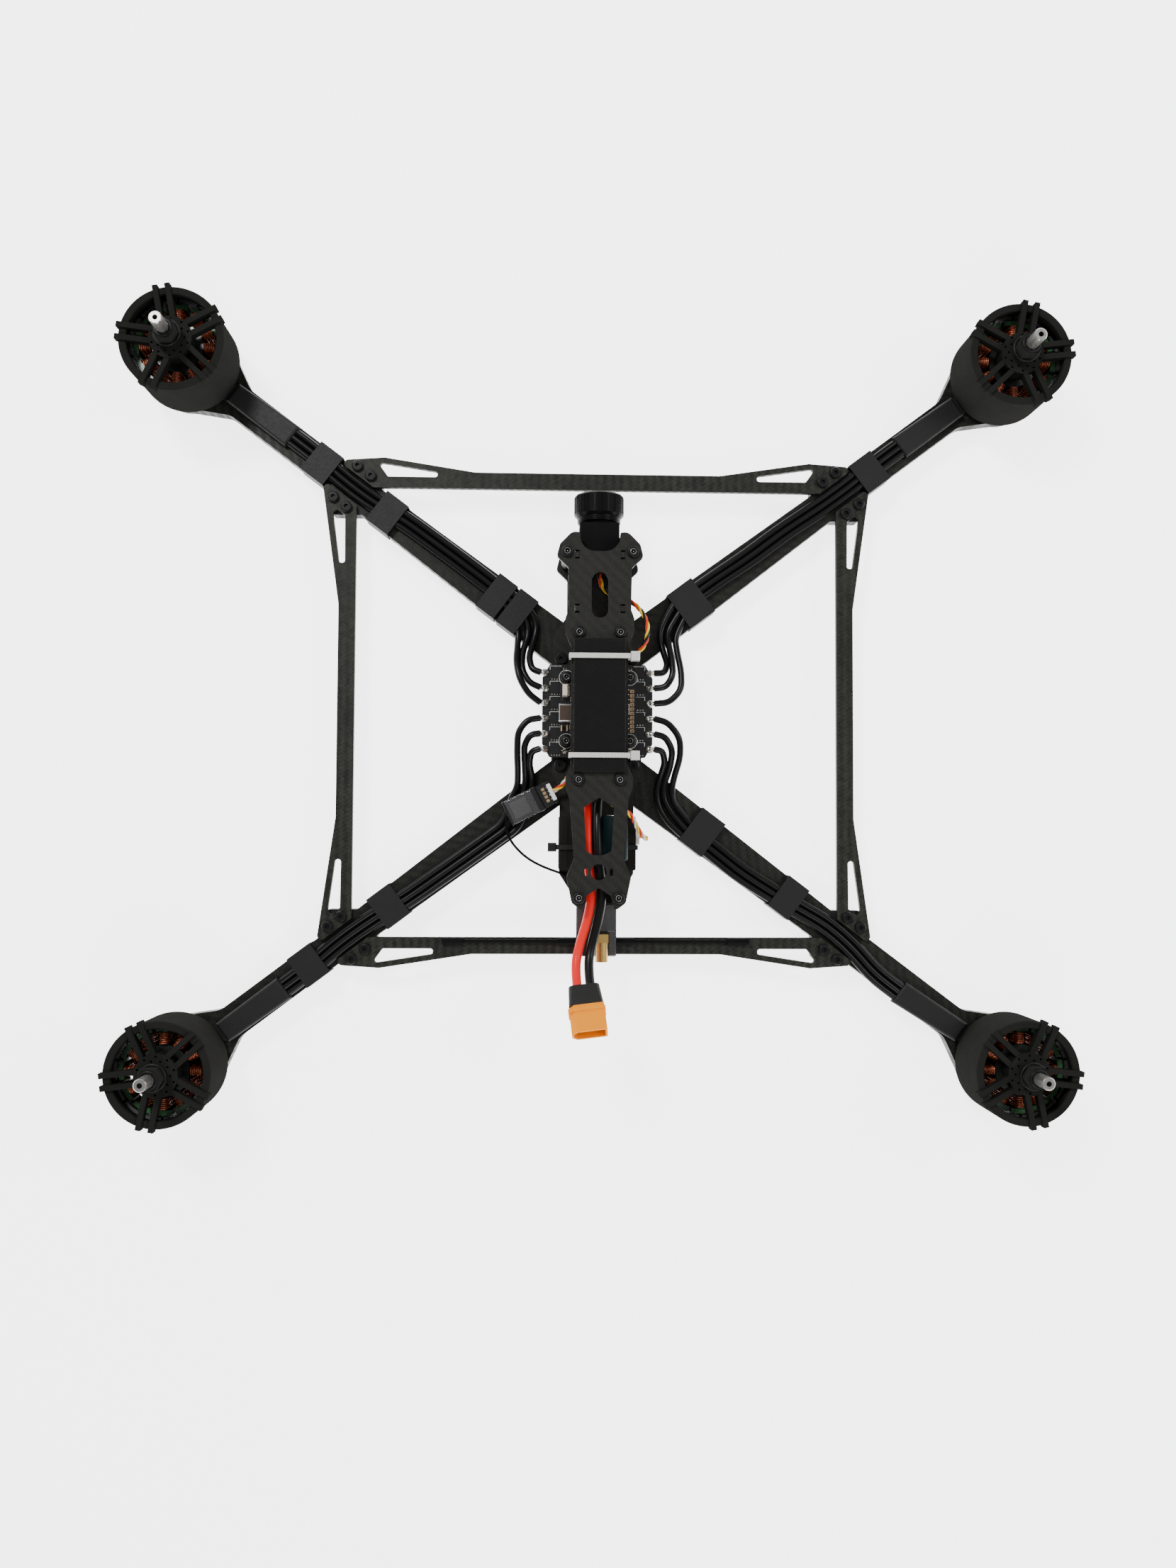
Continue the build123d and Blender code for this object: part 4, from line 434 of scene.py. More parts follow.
COPPER = solid("enamel_copper", (0.62, 0.17, 0.085), 0.25, metal=0.55, spread=0.4, grain=800, coat=0.5)
STATOR = stator("stator_enamel_painted_hub_shade")
TIE = ribbed("nylon_grey", (0.66, 0.65, 0.62))
PCB = board("board_black")
MARK = solid("board_print", (0.72, 0.72, 0.70), 0.55, grain=1500)
CREAM = solid("cream_plastic", (0.80, 0.66, 0.52), 0.42, grain=1500, spread=0.08)
BROWN = solid("brown_reflection", (0.085, 0.058, 0.045), 0.30, metal=0.6, grain=1200, spread=0.1)
WHITE = solid("white_plastic", (0.80, 0.79, 0.75), 0.40, grain=1500, spread=0.06)
TAN = solid("tan_ceramic", (0.45, 0.31, 0.17), 0.45, grain=1500)
PAD = solid("grip_pad", (0.006, 0.006, 0.006), 0.9, grain=1600, rise=0.0005, sheen=0.12, strength=1.0,
            specular=0.1)
TEAL = solid("capacitor_sleeve", (0.003, 0.010, 0.011), 0.5, grain=600, specular=0.05)
STRIPE = solid("capacitor_stripe", (0.06, 0.075, 0.078), 0.45, grain=900, specular=0.2)
RED_WIRE = silicone("silicone_red", (0.78, 0.016, 0.012))
BLACK_WIRE = silicone("silicone_black", (0.003, 0.003, 0.0032))
YELLOW_WIRE = silicone("wire_yellow", (0.80, 0.52, 0.02))
WHITE_WIRE = silicone("wire_white", (0.72, 0.71, 0.68))
THIN_RED = silicone("wire_red", (0.60, 0.045, 0.012))
THIN_BLACK = silicone("wire_black", (0.007, 0.007, 0.0075))
PLUG = solid("plug_yellow", (0.86, 0.27, 0.001), 0.5, grain=700, spread=0.06, specular=0.05)
BOOT = solid("boot_grey", (0.012, 0.012, 0.0115), 0.42, grain=700, spread=0.2, specular=0.2)
CAN = solid("can_grey", (0.05, 0.05, 0.052), 0.3, metal=0.6, grain=900)
CLEAR = clear("clear_shrink")
# shrink over the rear board: its grey colour is a painted sheen, its gloss and wrinkles come from the shader
SHEEN_FILM = solid("shrink_painted_sheen", (0.035, 0.035, 0.036), 0.2, grain=170, rise=0.0009, coat=0.4, strength=1.0)
RUBBER = solid("rubber", (0.009, 0.009, 0.009), 0.6, grain=1200, specular=0.2)


def dress(node, *materials):
    """Puts a material on a CAD node."""
    obj = nodes[node]
    obj.data.materials.clear()
    for m in materials:
        obj.data.materials.append(m)


PLAIN = {
    CARBON: ["bottom_plate", "mid_plate", "top_plate", "camera_side_plates"],
    CARBON_BRACE: ["brace_front", "brace_rear", "brace_left", "brace_right"],
    BLACK_OXIDE: ["top_plate_screws", "frame_bolts", "brace_screws", "motor_screws", "camera_screws",
                  "stack_screws", "standoffs"],
    BLACK_METAL: ["motor_bases", "video_transmitter", *[f"bell_{c}" for c in CORNERS]],
    STEEL: ["motor_bearings", "usb_socket"],
    STATOR: ["stator_cores"],
    GLOSS_BLACK: ["camera_lens"],
    BLACK_PLASTIC: ["camera_housing", "boot_button", "dipole_antenna"],
    PCB: ["esc_board", "flight_controller_board", "rear_board", "receiver_board"],
    CHIP: ["esc_chips", "flight_controller_parts"],
    RUBBER: ["stack_grommets"],
    TAPE: ["wire_tapes"],
    BLACK_WIRE: ["motor_wires"],
    TIE: ["zip_ties"],
    TEAL: ["capacitor"],
    BRASS: ["antenna_connector", "xt60_pins"],
    BOOT: ["xt60_boot"],
    PLUG: ["xt60_housing"],
}
for material, names in PLAIN.items():
    for node in names:
        dress(node, material)
for corner in CORNERS:
    dress(f"arm_{corner}", CARBON_ARM[corner])
    dress(f"prop_shaft_{corner}", SHAFT)

# ---- free cords ---------------------------------------------------------------------------
PLUG_START = mm(-6.6, -130.2, 44.0)
TURN, RISE = math.radians(7.0), math.radians(35.0)
PLUG_AXIS = Vector((math.sin(TURN) * math.cos(RISE), -math.cos(TURN) * math.cos(RISE), math.sin(RISE)))
PLUG_SIDE = Vector((math.cos(TURN), math.sin(TURN), 0))


def lead_end(side):
    """Where one lead enters the plug, and the point before it, in millimetres."""
    entry = PLUG_START + PLUG_SIDE * (side * 3.05 * MM)
    return [tuple((entry - PLUG_AXIS * 11.0 * MM) / MM), tuple(entry / MM)]


POSITIVE = [
    (-4.5, -23.4, 21.8), (-4.8, -31.0, 22.4), (-4.9, -39.0, 27.6), (-5.2, -47.5, 33.6),
    (-5.3, -59.0, 37.2), (-4.8, -73.0, 38.2), (-2.7, -87.0, 37.4), (-4.7, -99.5, 36.0), (-8.5, -111.5, 35.4),
    *lead_end(-1),
]
NEGATIVE = [
    (4.5, -23.4, 21.8), (3.4, -31.0, 22.6), (1.2, -39.0, 28.4), (-0.4, -47.5, 34.8),
    (-0.5, -59.0, 38.4), (0.1, -73.0, 39.0), (2.2, -87.0, 37.8), (0.3, -99.5, 36.2), (-2.8, -111.5, 35.2),
    *lead_end(1),
]
for name, route, material, slot in (
        ("lead_positive", POSITIVE, RED_WIRE, "silicone_red"),
        ("lead_negative", NEGATIVE, BLACK_WIRE, "silicone_black")):
    lead = nurbs(name, route, bevel=2.2)
    lead.data.materials.append(material)
    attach(lead, "frame")
    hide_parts("battery_" + name)

CAMERA_ROUTE = [
    (0.0, 65.7, 28.0), (0.6, 60.5, 28.2), (4.0, 55.8, 29.6), (10.0, 53.4, 31.6),
    (16.6, 50.6, 33.2), (21.6, 45.0, 33.6), (23.8, 37.4, 33.0), (22.0, 30.2, 31.8), (17.4, 25.6, 30.9),
    (12.4, 23.8, 30.2), (8.4, 23.2, 29.8), (4.9, 22.5, 29.5), (3.0, 20.5, 29.1), (3.0, 18.0, 29.1),
]
VIDEO_ROUTE = [
    (4.5, -18.0, 29.1), (4.5, -21.6, 29.1), (5.4, -25.8, 30.8),
    (5.8, -31.2, 34.2), (4.0, -37.0, 37.8), (3.4, -42.4, 40.0), (6.8, -46.2, 40.4), (12.0, -48.2, 38.0),
    (15.8, -50.8, 34.6), (18.2, -55.6, 31.0), (21.6, -60.6, 26.6), (23.9, -62.4, 22.8),
    (23.6, -60.6, 19.5), (20.5, -60.6, 19.5),
]
RECEIVER_ROUTE = [
    (-20.9, -38.8, 19.8), (-17.4, -37.0, 20.6), (-14.2, -32.5, 23.4), (-11.6, -27.2, 26.8),
    (-9.5, -21.8, 29.1), (-9.5, -18.0, 29.1),
]
COAX_ROUTE = [
    (-43.3, -50.3, 18.0), (-44.4, -55.8, 17.2), (-42.2, -62.6, 16.2), (-37.2, -68.6, 15.6),
    (-31.4, -73.0, 15.2), (-24.6, -76.2, 14.9), (-17.6, -78.6, 14.7), (-10.8, -81.2, 14.6),
    (-5.0, -85.4, 14.6), (-2.6, -89.8, 14.6), (-2.2, -93.9, 14.6),
]


def bundle(name, route, colours, body="frame", pitch=0.011, radius=0.00058, offset=0.00062):
    """Thin wires twisted together along the route: one mesh, one colour each."""
    path = line_of(route, steps=8)
    mesh = bmesh.new()
    for index, points in enumerate(twisted(path, len(colours), offset, pitch)):
        strand(mesh, points, radius, sides=8, index=index)
    obj = piece(name, mesh, colours, body=body)
    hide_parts(name.removesuffix("_wires"))
    return obj, path


camera_wires, camera_path = bundle("camera_cable_wires", CAMERA_ROUTE,
                                   [YELLOW_WIRE, THIN_RED, THIN_BLACK], body=None)
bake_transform(camera_wires)
video_wires, video_path = bundle("video_cable_wires", VIDEO_ROUTE, [YELLOW_WIRE, WHITE_WIRE, THIN_RED])
bundle("receiver_cable_wires", RECEIVER_ROUTE, [YELLOW_WIRE, WHITE_WIRE, THIN_RED])
coax = nurbs("antenna_coax_line", COAX_ROUTE, bevel=0.6)
coax.data.materials.append(BLACK_PLASTIC)
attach(coax, "frame")
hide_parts("antenna_coax")

# ---- motors -------------------------------------------------------------------------------
TEETH = 12
MAGNETS = 14
COIL_TURNS = 6                   # in each of two layers
COIL_STEP = 0.9                  # from one turn to the next along a tooth
COIL_WIRE_R = 0.00036            # in metres
MAGNET_OUT, MAGNET_IN = 22.86, 21.4
MAGNET_Z = (17.0, 34.0)


def coil_turn(radius, angle, half_wide, low, high, centre):
    """One rounded turn of wire round a stator tooth."""
    out = Vector((math.cos(angle), math.sin(angle), 0))
    side = Vector((-out.y, out.x, 0))
    turn = []
    for k in range(20):
        a = 2 * math.pi * k / 20
        u = math.copysign(abs(math.cos(a)) ** 0.55, math.cos(a)) * half_wide
        w = math.copysign(abs(math.sin(a)) ** 0.35, math.sin(a)) * (high - low) / 2
        turn.append(centre + (out * radius + side * u) * MM + Vector((0, 0, (low + high) / 2 + w)) * MM)
    return turn


for corner, (sx, sy) in CORNERS.items():
    centre = Vector((SPIN[f"rotor_{corner}"].x, SPIN[f"rotor_{corner}"].y, 0))
    spot = Matrix.Translation(centre)
    coils = bmesh.new()
    for tooth in range(TEETH):
        angle = 2 * math.pi * tooth / TEETH
        for turn in range(COIL_TURNS):
            inner = coil_turn(13.0 + COIL_STEP * turn, angle, 1.72, 16.6, 34.4, centre)
            strand(coils, inner, COIL_WIRE_R, sides=6, closed=True)
        for turn in range(COIL_TURNS):
            slant = angle + 0.012 * (-1) ** turn
            outer = coil_turn(12.8 + COIL_STEP * turn, slant, 2.1, 16.0, 35.0, centre)
            strand(coils, outer, COIL_WIRE_R, sides=6, closed=True)
    obj = piece(f"winding_{corner}", coils, COPPER)
    if corner == "front_left":
        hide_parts("motor_windings")

    magnets = bmesh.new()
    for k in range(MAGNETS):
        middle = 2 * math.pi * k / MAGNETS
        half = math.pi / MAGNETS * 0.86
        arc = [middle + half * (2 * i / 6 - 1) for i in range(7)]
        rim = [(MAGNET_OUT, a) for a in arc] + [(MAGNET_IN, a) for a in reversed(arc)]
        layers = [[magnets.verts.new(centre + mm(r * math.cos(a), r * math.sin(a), z)) for r, a in rim]
                  for z in MAGNET_Z]
        for i in range(len(rim)):
            j = (i + 1) % len(rim)
            magnets.faces.new((layers[0][i], layers[0][j], layers[1][j], layers[1][i]))
        magnets.faces.new(layers[0])
        magnets.faces.new(layers[1])
    piece(f"magnets_{corner}", magnets, MAGNET, body=f"rotor_{corner}", smooth=False)

    nut = bmesh.new()
    lathe(nut, [(5.3, 50.1), (6.5, 50.1), (6.5, 50.8), (5.3, 51.0)], place=spot, closed=True, sides=40)
    lathe(nut, [(5.3, 47.6), (5.75, 47.8), (5.75, 48.6), (5.3, 48.8)], place=spot, closed=True, sides=40)
    lathe(nut, [(3.05, 56.55), (4.6, 56.55), (4.3, 57.0), (3.3, 57.0)], place=spot, closed=True, sides=36)
    piece(f"nut_trim_{corner}", nut, BLACK_OXIDE, body=f"rotor_{corner}")

# ---- screw heads --------------------------------------------------------------------------
TOP_SCREWS = [(side * x, y) for x, y in ((15.4, 72.3), (9.6, 34.4), (9.6, -34.4), (9.2, -89.2))
              for side in (-1, 1)]
STACK_HALF = 15.25               # half the 30.5 mm bolt pattern of the stack
STACK_SCREWS = [(sx * STACK_HALF, sy * STACK_HALF) for sx, sy in CORNERS.values()]
TOP_CROWN, STACK_CROWN = 46.3, 31.0
rims = bmesh.new()
for spots, crown in ((TOP_SCREWS, TOP_CROWN), (STACK_SCREWS, STACK_CROWN)):
    for x, y in spots:
        place = Matrix.Translation(mm(x, y, crown))
        lathe(rims, [(1.18, 0.0), (1.38, 0.0), (1.38, 0.06), (1.18, 0.04)], place=place, closed=True,
              sides=24)
        disc(rims, (0.15, 0.1, -1.05), 0.5, 0.25, place=place, sides=12, top=0.25)
piece("screw_head_rims", rims, DARK_STEEL)

# ---- control stack ------------------------------------------------------------------------
ESC_TOP = 19.6
FC_TOP = 27.6
MOTOR_ROWS = [-18.5, -11.1, -3.7, 3.7, 11.1, 18.5]
SWITCH_X = 20.2                  # the rows of power transistors


def blob(mesh, centre, size, seed):
    """An uneven drop of solder sitting on its pad."""
    rng = random.Random(seed)
    made = bmesh.ops.create_icosphere(mesh, subdivisions=3, radius=1.0)
    lumps = [(Vector((rng.uniform(-1, 1), rng.uniform(-1, 1), rng.uniform(-0.2, 1))).normalized(),
              rng.uniform(0.05, 0.22)) for _ in range(5)]
    for v in made["verts"]:
        co = v.co.copy()
        swell = 1 + sum(h * max(0.0, co.dot(d)) ** 6 for d, h in lumps)
        grown = [c * reach * swell for c, reach in zip((co.x, co.y, max(co.z, -0.05)), size)]
        v.co = mm(*centre) + Vector(grown) * MM


solder = bmesh.new()
for side in (-1, 1):
    for number, y in enumerate(MOTOR_ROWS):
        blob(solder, (side * 25.3, y, ESC_TOP), (2.0, 1.75, 2.0), 31 * number + side)
        strand(solder, [mm(side * 25.0, y, ESC_TOP + 1.5), mm(side * 27.7, y, ESC_TOP + 1.6)], 0.0011)
for number, x in enumerate((-4.5, 4.5)):
    blob(solder, (x, -21.2, ESC_TOP), (2.9, 2.4, 2.6), 400 + number)
    strand(solder, [mm(x, -21.0, ESC_TOP + 2.0), mm(x, -23.5, ESC_TOP + 2.2)], 0.0016)
piece("solder_blobs", solder, SOLDER)
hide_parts("solder_joints")

small = bmesh.new()
rng = random.Random(11)
METAL_END, BODY_DARK, BODY_TAN = 0, 1, 2


def passive(mesh, x, y, z, long=1.6, wide=0.8, high=0.45, upright=False, body=BODY_DARK):
    """A surface-mount resistor or capacitor with plated ends."""
    size = (wide, long) if upright else (long, wide)
    step = (0, long * 0.39) if upright else (long * 0.39, 0)
    end = (size[0], size[1] * 0.24) if upright else (size[0] * 0.24, size[1])
    block(mesh, (x, y, z + high / 2), (size[0] * 0.94, size[1] * 0.94, high * 0.92), index=body)
    for side in (-1, 1):
        block(mesh, (x + side * step[0], y + side * step[1], z + high / 2), (*end, high), index=METAL_END)


for side in (-1, 1):
    for y in MOTOR_ROWS:
        for k in range(3):
            passive(small, side * 15.9, y - 1.9 + 1.9 * k, ESC_TOP, long=1.5, body=rng.choice((1, 2)))
    for k in range(6):
        passive(small, side * 13.2, -11.5 + 4.6 * k, ESC_TOP, upright=True, body=rng.choice((1, 2)))
for x, y in [(-10.5, 19.8), (-7.5, 19.8), (-4.5, 19.8), (4.8, 19.8), (7.8, 19.8), (10.8, 19.8)]:
    passive(small, x, y, ESC_TOP, body=BODY_TAN)
for x in (-11.0, 11.0):
    for y in (-20.4, -18.6, -16.8):
        passive(small, x, y, ESC_TOP, long=2.2, wide=1.2, body=BODY_TAN)
FC_SMALL = [(-12.2, 12.8), (-9.9, 12.8), (-7.6, 12.8), (8.2, 12.4), (10.6, 12.4), (12.6, 6.4), (12.6, 4.6),
            (12.6, 0.4), (12.6, -1.4), (12.6, -5.8), (12.6, -7.6), (-6.2, 4.6), (-6.2, 2.8), (-6.2, 0.8),
            (5.6, -4.8), (5.6, -6.6), (-1.6, -6.0), (-1.6, -7.8), (1.4, -6.0), (1.4, -7.8), (-11.6, -12.6),
            (8.8, -12.4), (10.8, -12.4), (0.2, 11.6), (-3.0, 11.6)]
for number, (x, y) in enumerate(FC_SMALL):
    passive(small, x, y, FC_TOP, long=1.3, wide=0.7, upright=number % 3 == 0, body=rng.choice((1, 1, 2)))
for y in (-6.6, -5.4, 4.2, 5.4):
    passive(small, -12.8, y, FC_TOP, long=1.3, wide=0.7, body=BODY_TAN)
soften(piece("small_components", small, [SOLDER, CHIP, TAN], smooth=False), 0.06, 1)

pads = bmesh.new()
for k in range(10):
    y = 8.8 - 2.11 * k
    block(pads, (16.3, y, FC_TOP + 0.03), (1.9, 1.6, 0.06))
    block(pads, (16.5, y - 0.1, FC_TOP + 0.07), (0.7, 0.7, 0.04), index=1)
for k in range(6):
    block(pads, (-7.5 + 2.3 * k, -13.2, FC_TOP + 0.03), (1.4, 1.0, 0.06))
for x, y in [(11.5, 9.4), (-11.5, 6.4), (-11.8, -3.6)]:
    block(pads, (x, y, FC_TOP + 0.03), (1.1, 1.1, 0.06))
soften(piece("gold_pads", pads, [GOLD_PAD, BROWN], smooth=False), 0.2, 2)

collars = bmesh.new()
for x, y in STACK_SCREWS:
    lathe(collars, [(3.4, FC_TOP), (3.58, FC_TOP), (3.58, FC_TOP + 0.05), (3.4, FC_TOP + 0.05)],
          place=Matrix.Translation(mm(x, y, 0)), closed=True)
piece("mounting_rings", collars, MARK)

marks = bmesh.new()
MARK_T = 0.04
RING_R = 4.4                     # printed ring round each stack screw


def dash(mesh, x, y, z, long, wide=0.25, turn=0.0):
    """One printed line on a board."""
    place = Matrix.Translation(mm(x, y, z)) @ Matrix.Rotation(math.radians(turn), 4, "Z")
    block(mesh, (0, 0, MARK_T / 2), (long, wide, MARK_T), place=place)


for side in (-1, 1):
    for y in MOTOR_ROWS:
        dash(marks, side * SWITCH_X, y + 3.3, ESC_TOP, 5.4, wide=0.2)
        dash(marks, side * 23.05, y + 2.4, ESC_TOP, 1.8, wide=0.2, turn=90)
for k in range(12):
    a = math.radians(30 * k)
    dx, dy = RING_R * math.cos(a), RING_R * math.sin(a)
    for x, y in STACK_SCREWS:
        dash(marks, x + dx, y + dy, ESC_TOP, 1.7, turn=30 * k + 90)
for y in (-14.6, 14.6):
    dash(marks, 0, y, FC_TOP, 12.0)
for x in (-4.4, 4.4):
    dash(marks, x, 0, FC_TOP, 7.8, turn=90)
for x, y, turn in [(0, 4.4, 0), (0, -4.4, 0), (14.9, 0.2, 90), (-13.9, 8.9, 90), (-11.6, -2.0, 90)]:
    dash(marks, x, y, FC_TOP, 5.0 if turn else 8.8, turn=turn)
for k in range(9):
    dash(marks, 14.4, 9.6 - 2.33 * k, FC_TOP, 0.9)
for x, y in [(-3.9, 21.2), (0.2, 21.2), (3.9, 21.2), (-9.5, -14.9), (9.5, -14.9)]:
    dash(marks, x, y, ESC_TOP, 2.4)
piece("board_print", marks, MARK, smooth=False)

chips = bmesh.new()
legs = bmesh.new()
for side in (-1, 1):
    for y in MOTOR_ROWS:
        block(chips, (side * SWITCH_X, y, ESC_TOP + 1.04), (4.3, 4.9, 0.10))
        for k in range(4):
            block(legs, (side * SWITCH_X - 1.9 + 1.27 * k, y - 3.0, ESC_TOP + 0.2), (0.55, 0.6, 0.4))
for k in range(16):
    for u, v, size in ((-1, 0, (0.5, 0.2, 0.24)), (1, 0, (0.5, 0.2, 0.24)), (0, -1, (0.2, 0.5, 0.24)),
                       (0, 1, (0.2, 0.5, 0.24))):
        slide = -2.8 + 0.373 * k
        block(legs, (u * 3.7 if u else slide, v * 3.7 if v else slide, FC_TOP + 0.12), size)
for x, y in [(7.5, 8.5), (7.5, -8.5), (-7.5, 8.5), (-7.5, -8.5)]:
    for k in range(8):
        for side in (-1, 1):
            block(legs, (x + side * 2.65, y - 1.95 + 0.56 * k, ESC_TOP + 0.12), (0.5, 0.26, 0.24))
disc(chips, (-2.6, 2.6, FC_TOP + 0.9), 0.35, 0.03)
soften(piece("chip_tops", chips, CHIP, smooth=False), 0.08, 1)
piece("chip_legs", legs, SOLDER, smooth=False)


def connector(name, centre, across, along, high, pins, face, material, pin_axis):
    """Open-fronted board connector: shell walls round a row of pins, opening along face."""
    mesh = bmesh.new()
    wall, deck = 0.55, 0.6
    place = Matrix.Translation(mm(*centre)) @ Matrix.Rotation(math.radians(face), 4, "Z")
    block(mesh, (0, 0, deck / 2), (across, along, deck), place=place)
    block(mesh, (0, 0, high - deck / 2), (across, along, deck), place=place)
    for side in (-1, 1):
        block(mesh, (side * (across - wall) / 2, 0, high / 2), (wall, along, high), place=place)
    block(mesh, (0, -(along - wall) / 2, high / 2), (across, wall, high), place=place)
    for k in range(pins):
        u = (k - (pins - 1) / 2) * pin_axis
        block(mesh, (u, 0.2, high / 2), (0.35, along * 0.7, 0.35), place=place, index=1)
        block(mesh, (u, -along / 2 - 0.35, 0.2), (0.4, 0.7, 0.3), place=place, index=1)
    return soften(piece(name, mesh, [material, SOLDER], smooth=False), 0.1, 2)


connector("camera_socket", (3.0, 16.2, FC_TOP + 0.01), 7.3, 3.7, 3.2, 5, 0, WHITE, 1.1)
connector("receiver_socket", (-9.5, -16.2, FC_TOP + 0.01), 5.3, 3.7, 3.2, 4, 180, WHITE, 1.0)
connector("video_socket", (4.5, -16.2, FC_TOP + 0.01), 7.3, 3.7, 3.2, 5, 180, WHITE, 1.1)
connector("speed_controller_socket", (-15.7, 8.9, FC_TOP + 0.01), 6.3, 2.7, 3.25, 8, 90, CREAM, 0.65)

usb_top = bmesh.new()
block(usb_top, (-15.1, -2.0, FC_TOP + 3.22), (6.4, 7.2, 0.08))
soften(piece("usb_top_panel", usb_top, BROWN, smooth=False), 0.04, 1)
boot = bmesh.new()
for x, y, size in [(-16.2, -9.2, (3.1, 2.9, 1.42)), (-14.0, -8.6, (1.2, 2.2, 0.8))]:
    for side in (-1, 1):
        block(boot, (x + side * size[0] * 0.42, y, FC_TOP + size[2] / 2), (size[0] * 0.2, size[1], size[2]))
soften(piece("boot_case_trim", boot, TAN, smooth=False), 0.1, 1)
tongue = bmesh.new()
block(tongue, (-14.6, -2.0, FC_TOP + 1.6), (6.0, 6.6, 0.85))
soften(piece("usb_tongue", tongue, TAN, smooth=False), 0.12)

# ---- receiver -----------------------------------------------------------------------------
RX_TURN = 180 + 27.0
RX = Matrix.Translation(mm(-32.0, -44.5, 17.2)) @ Matrix.Rotation(math.radians(RX_TURN), 4, "Z")
rx = bmesh.new()
for k in range(4):
    block(rx, (-7.9, -3.0 + 2.0 * k, 1.24), (1.6, 1.4, 0.08), place=RX)
soften(piece("receiver_pads", rx, GOLD_PAD, smooth=False), 0.2)
rx = bmesh.new()
block(rx, (-11.2, 0, 2.5), (2.1, 8.7, 2.7), place=RX)
for k in range(4):
    block(rx, (-9.9, -3.0 + 2.0 * k, 1.5), (0.8, 0.5, 0.5), place=RX, index=1)
soften(piece("receiver_plug", rx, [WHITE, SOLDER], smooth=False), 0.25)
rx = bmesh.new()
block(rx, (5.6, 0, 2.64), (8.4, 8.0, 0.1), place=RX)
soften(piece("receiver_can", rx, CAN, smooth=False), 0.15)
wrap = bmesh.new()
block(wrap, (4.6, 0, 1.3), (16.0, 12.3, 3.7), place=RX)
soften(piece("receiver_shrink", wrap, CLEAR), 1.1, 4)
band = bmesh.new()
for x, width in ((-3.6, 3.0), (12.2, 1.4)):
    block(band, (x, 0, 1.35), (width, 12.6, 3.9), place=RX)
soften(piece("receiver_band", band, SHRINK), 0.8, 3)

# ---- camera -------------------------------------------------------------------------------
LENS = Matrix.Translation(Vector((0, 0, TILT.z))) @ Matrix.Rotation(math.radians(-90), 4, "X")
RIBS = 44
hood = bmesh.new()
for k in range(RIBS):
    a = 2 * math.pi * k / RIBS
    place = LENS @ Matrix.Rotation(a, 4, "Z")
    block(hood, (11.7, 0, 97.6), (0.5, 0.8, 8.2), place=place)
soften(piece("lens_ribs", hood, BLACK_PLASTIC, body="lens", smooth=False), 0.18)
glass = bmesh.new()
lathe(glass, [(8.2, 100.6), (7.4, 101.3), (5.8, 101.9), (3.6, 102.35), (1.4, 102.5), (0.3, 102.52)],
      place=LENS)
piece("lens_glass", glass, GLOSS_BLACK, body="lens")
ring = bmesh.new()
for r, y in ((10.4, 102.78), (9.6, 102.78)):
    lathe(ring, [(r - 0.25, y), (r, y + 0.02), (r + 0.25, y), (r, y - 0.3)], place=LENS, closed=True,
          sides=64)
for y in (90.1, 91.0):
    lathe(ring, [(10.15, y - 0.25), (10.4, y), (10.15, y + 0.25)], place=LENS, closed=True, sides=64)
piece("lens_rings", ring, BLACK_PLASTIC, body="lens")
shell = bmesh.new()
for z in (20.6, 35.4):
    for k in range(5):
        block(shell, (-5.6 + 2.8 * k, 71.6, z), (1.1, 1.6, 4.2))
for side in (-1, 1):
    for z in (21.8, 34.2):
        disc(shell, (side * 7.6, z, 87.9), 1.2, 0.5,
             place=Matrix.Rotation(math.radians(-90), 4, "X") @ Matrix.Diagonal((1, -1, 1, 1)))
soften(piece("camera_shell_detail", shell, BLACK_PLASTIC, body="camera",
             smooth=False), 0.15)
socket = bmesh.new()
block(socket, (0, 68.0, 28.0), (7.3, 3.9, 4.3))
soften(piece("camera_plug", socket, WHITE, body="camera", smooth=False), 0.25)

# ---- rear bay -----------------------------------------------------------------------------
CAP = Matrix.Translation(mm(7.8, 0, 33.4)) @ Matrix.Rotation(math.radians(90), 4, "X")
CAP_R = 6.36
sleeve = bmesh.new()
lathe(sleeve, [(5.2, 50.92), (6.1, 51.0), (CAP_R, 51.5), (CAP_R, 71.3), (6.1, 71.9), (5.4, 72.05)],
      place=CAP, sides=64)
for a in range(-22, 23, 4):
    for y in (54.6, 59.2, 63.8, 68.4):
        place = CAP @ Matrix.Rotation(math.radians(250 + a), 4, "Z")
        block(sleeve, (CAP_R + 0.02, 0, y), (0.06, 0.5, 3.4), place=place, index=1)
piece("capacitor_sleeve_shell", sleeve, [TEAL, STRIPE])
can = bmesh.new()
lathe(can, [(4.9, 50.7), (5.3, 50.8), (5.3, 51.1), (4.9, 51.2)], place=CAP, closed=True)
for turn in (0, 90):
    block(can, (0, 0, 50.86), (7.0, 0.3, 0.12), place=CAP @ Matrix.Rotation(math.radians(turn), 4, "Z"))
piece("capacitor_can", can, STEEL)

fins = bmesh.new()
for k in range(8):
    block(fins, (-14.7 + 4.2 * k, -64.0, 26.0), (1.2, 22.0, 0.7))
soften(piece("transmitter_fins", fins, BLACK_METAL, smooth=False), 0.2)
plug = bmesh.new()
block(plug, (19.5, -60.6, 19.5), (2.1, 8.2, 3.8))
for k in range(4):
    block(plug, (20.55, -63.0 + 1.6 * k, 19.5), (0.2, 0.8, 1.0), index=1)
soften(piece("transmitter_plug", plug, [WHITE, CHIP], smooth=False), 0.3)

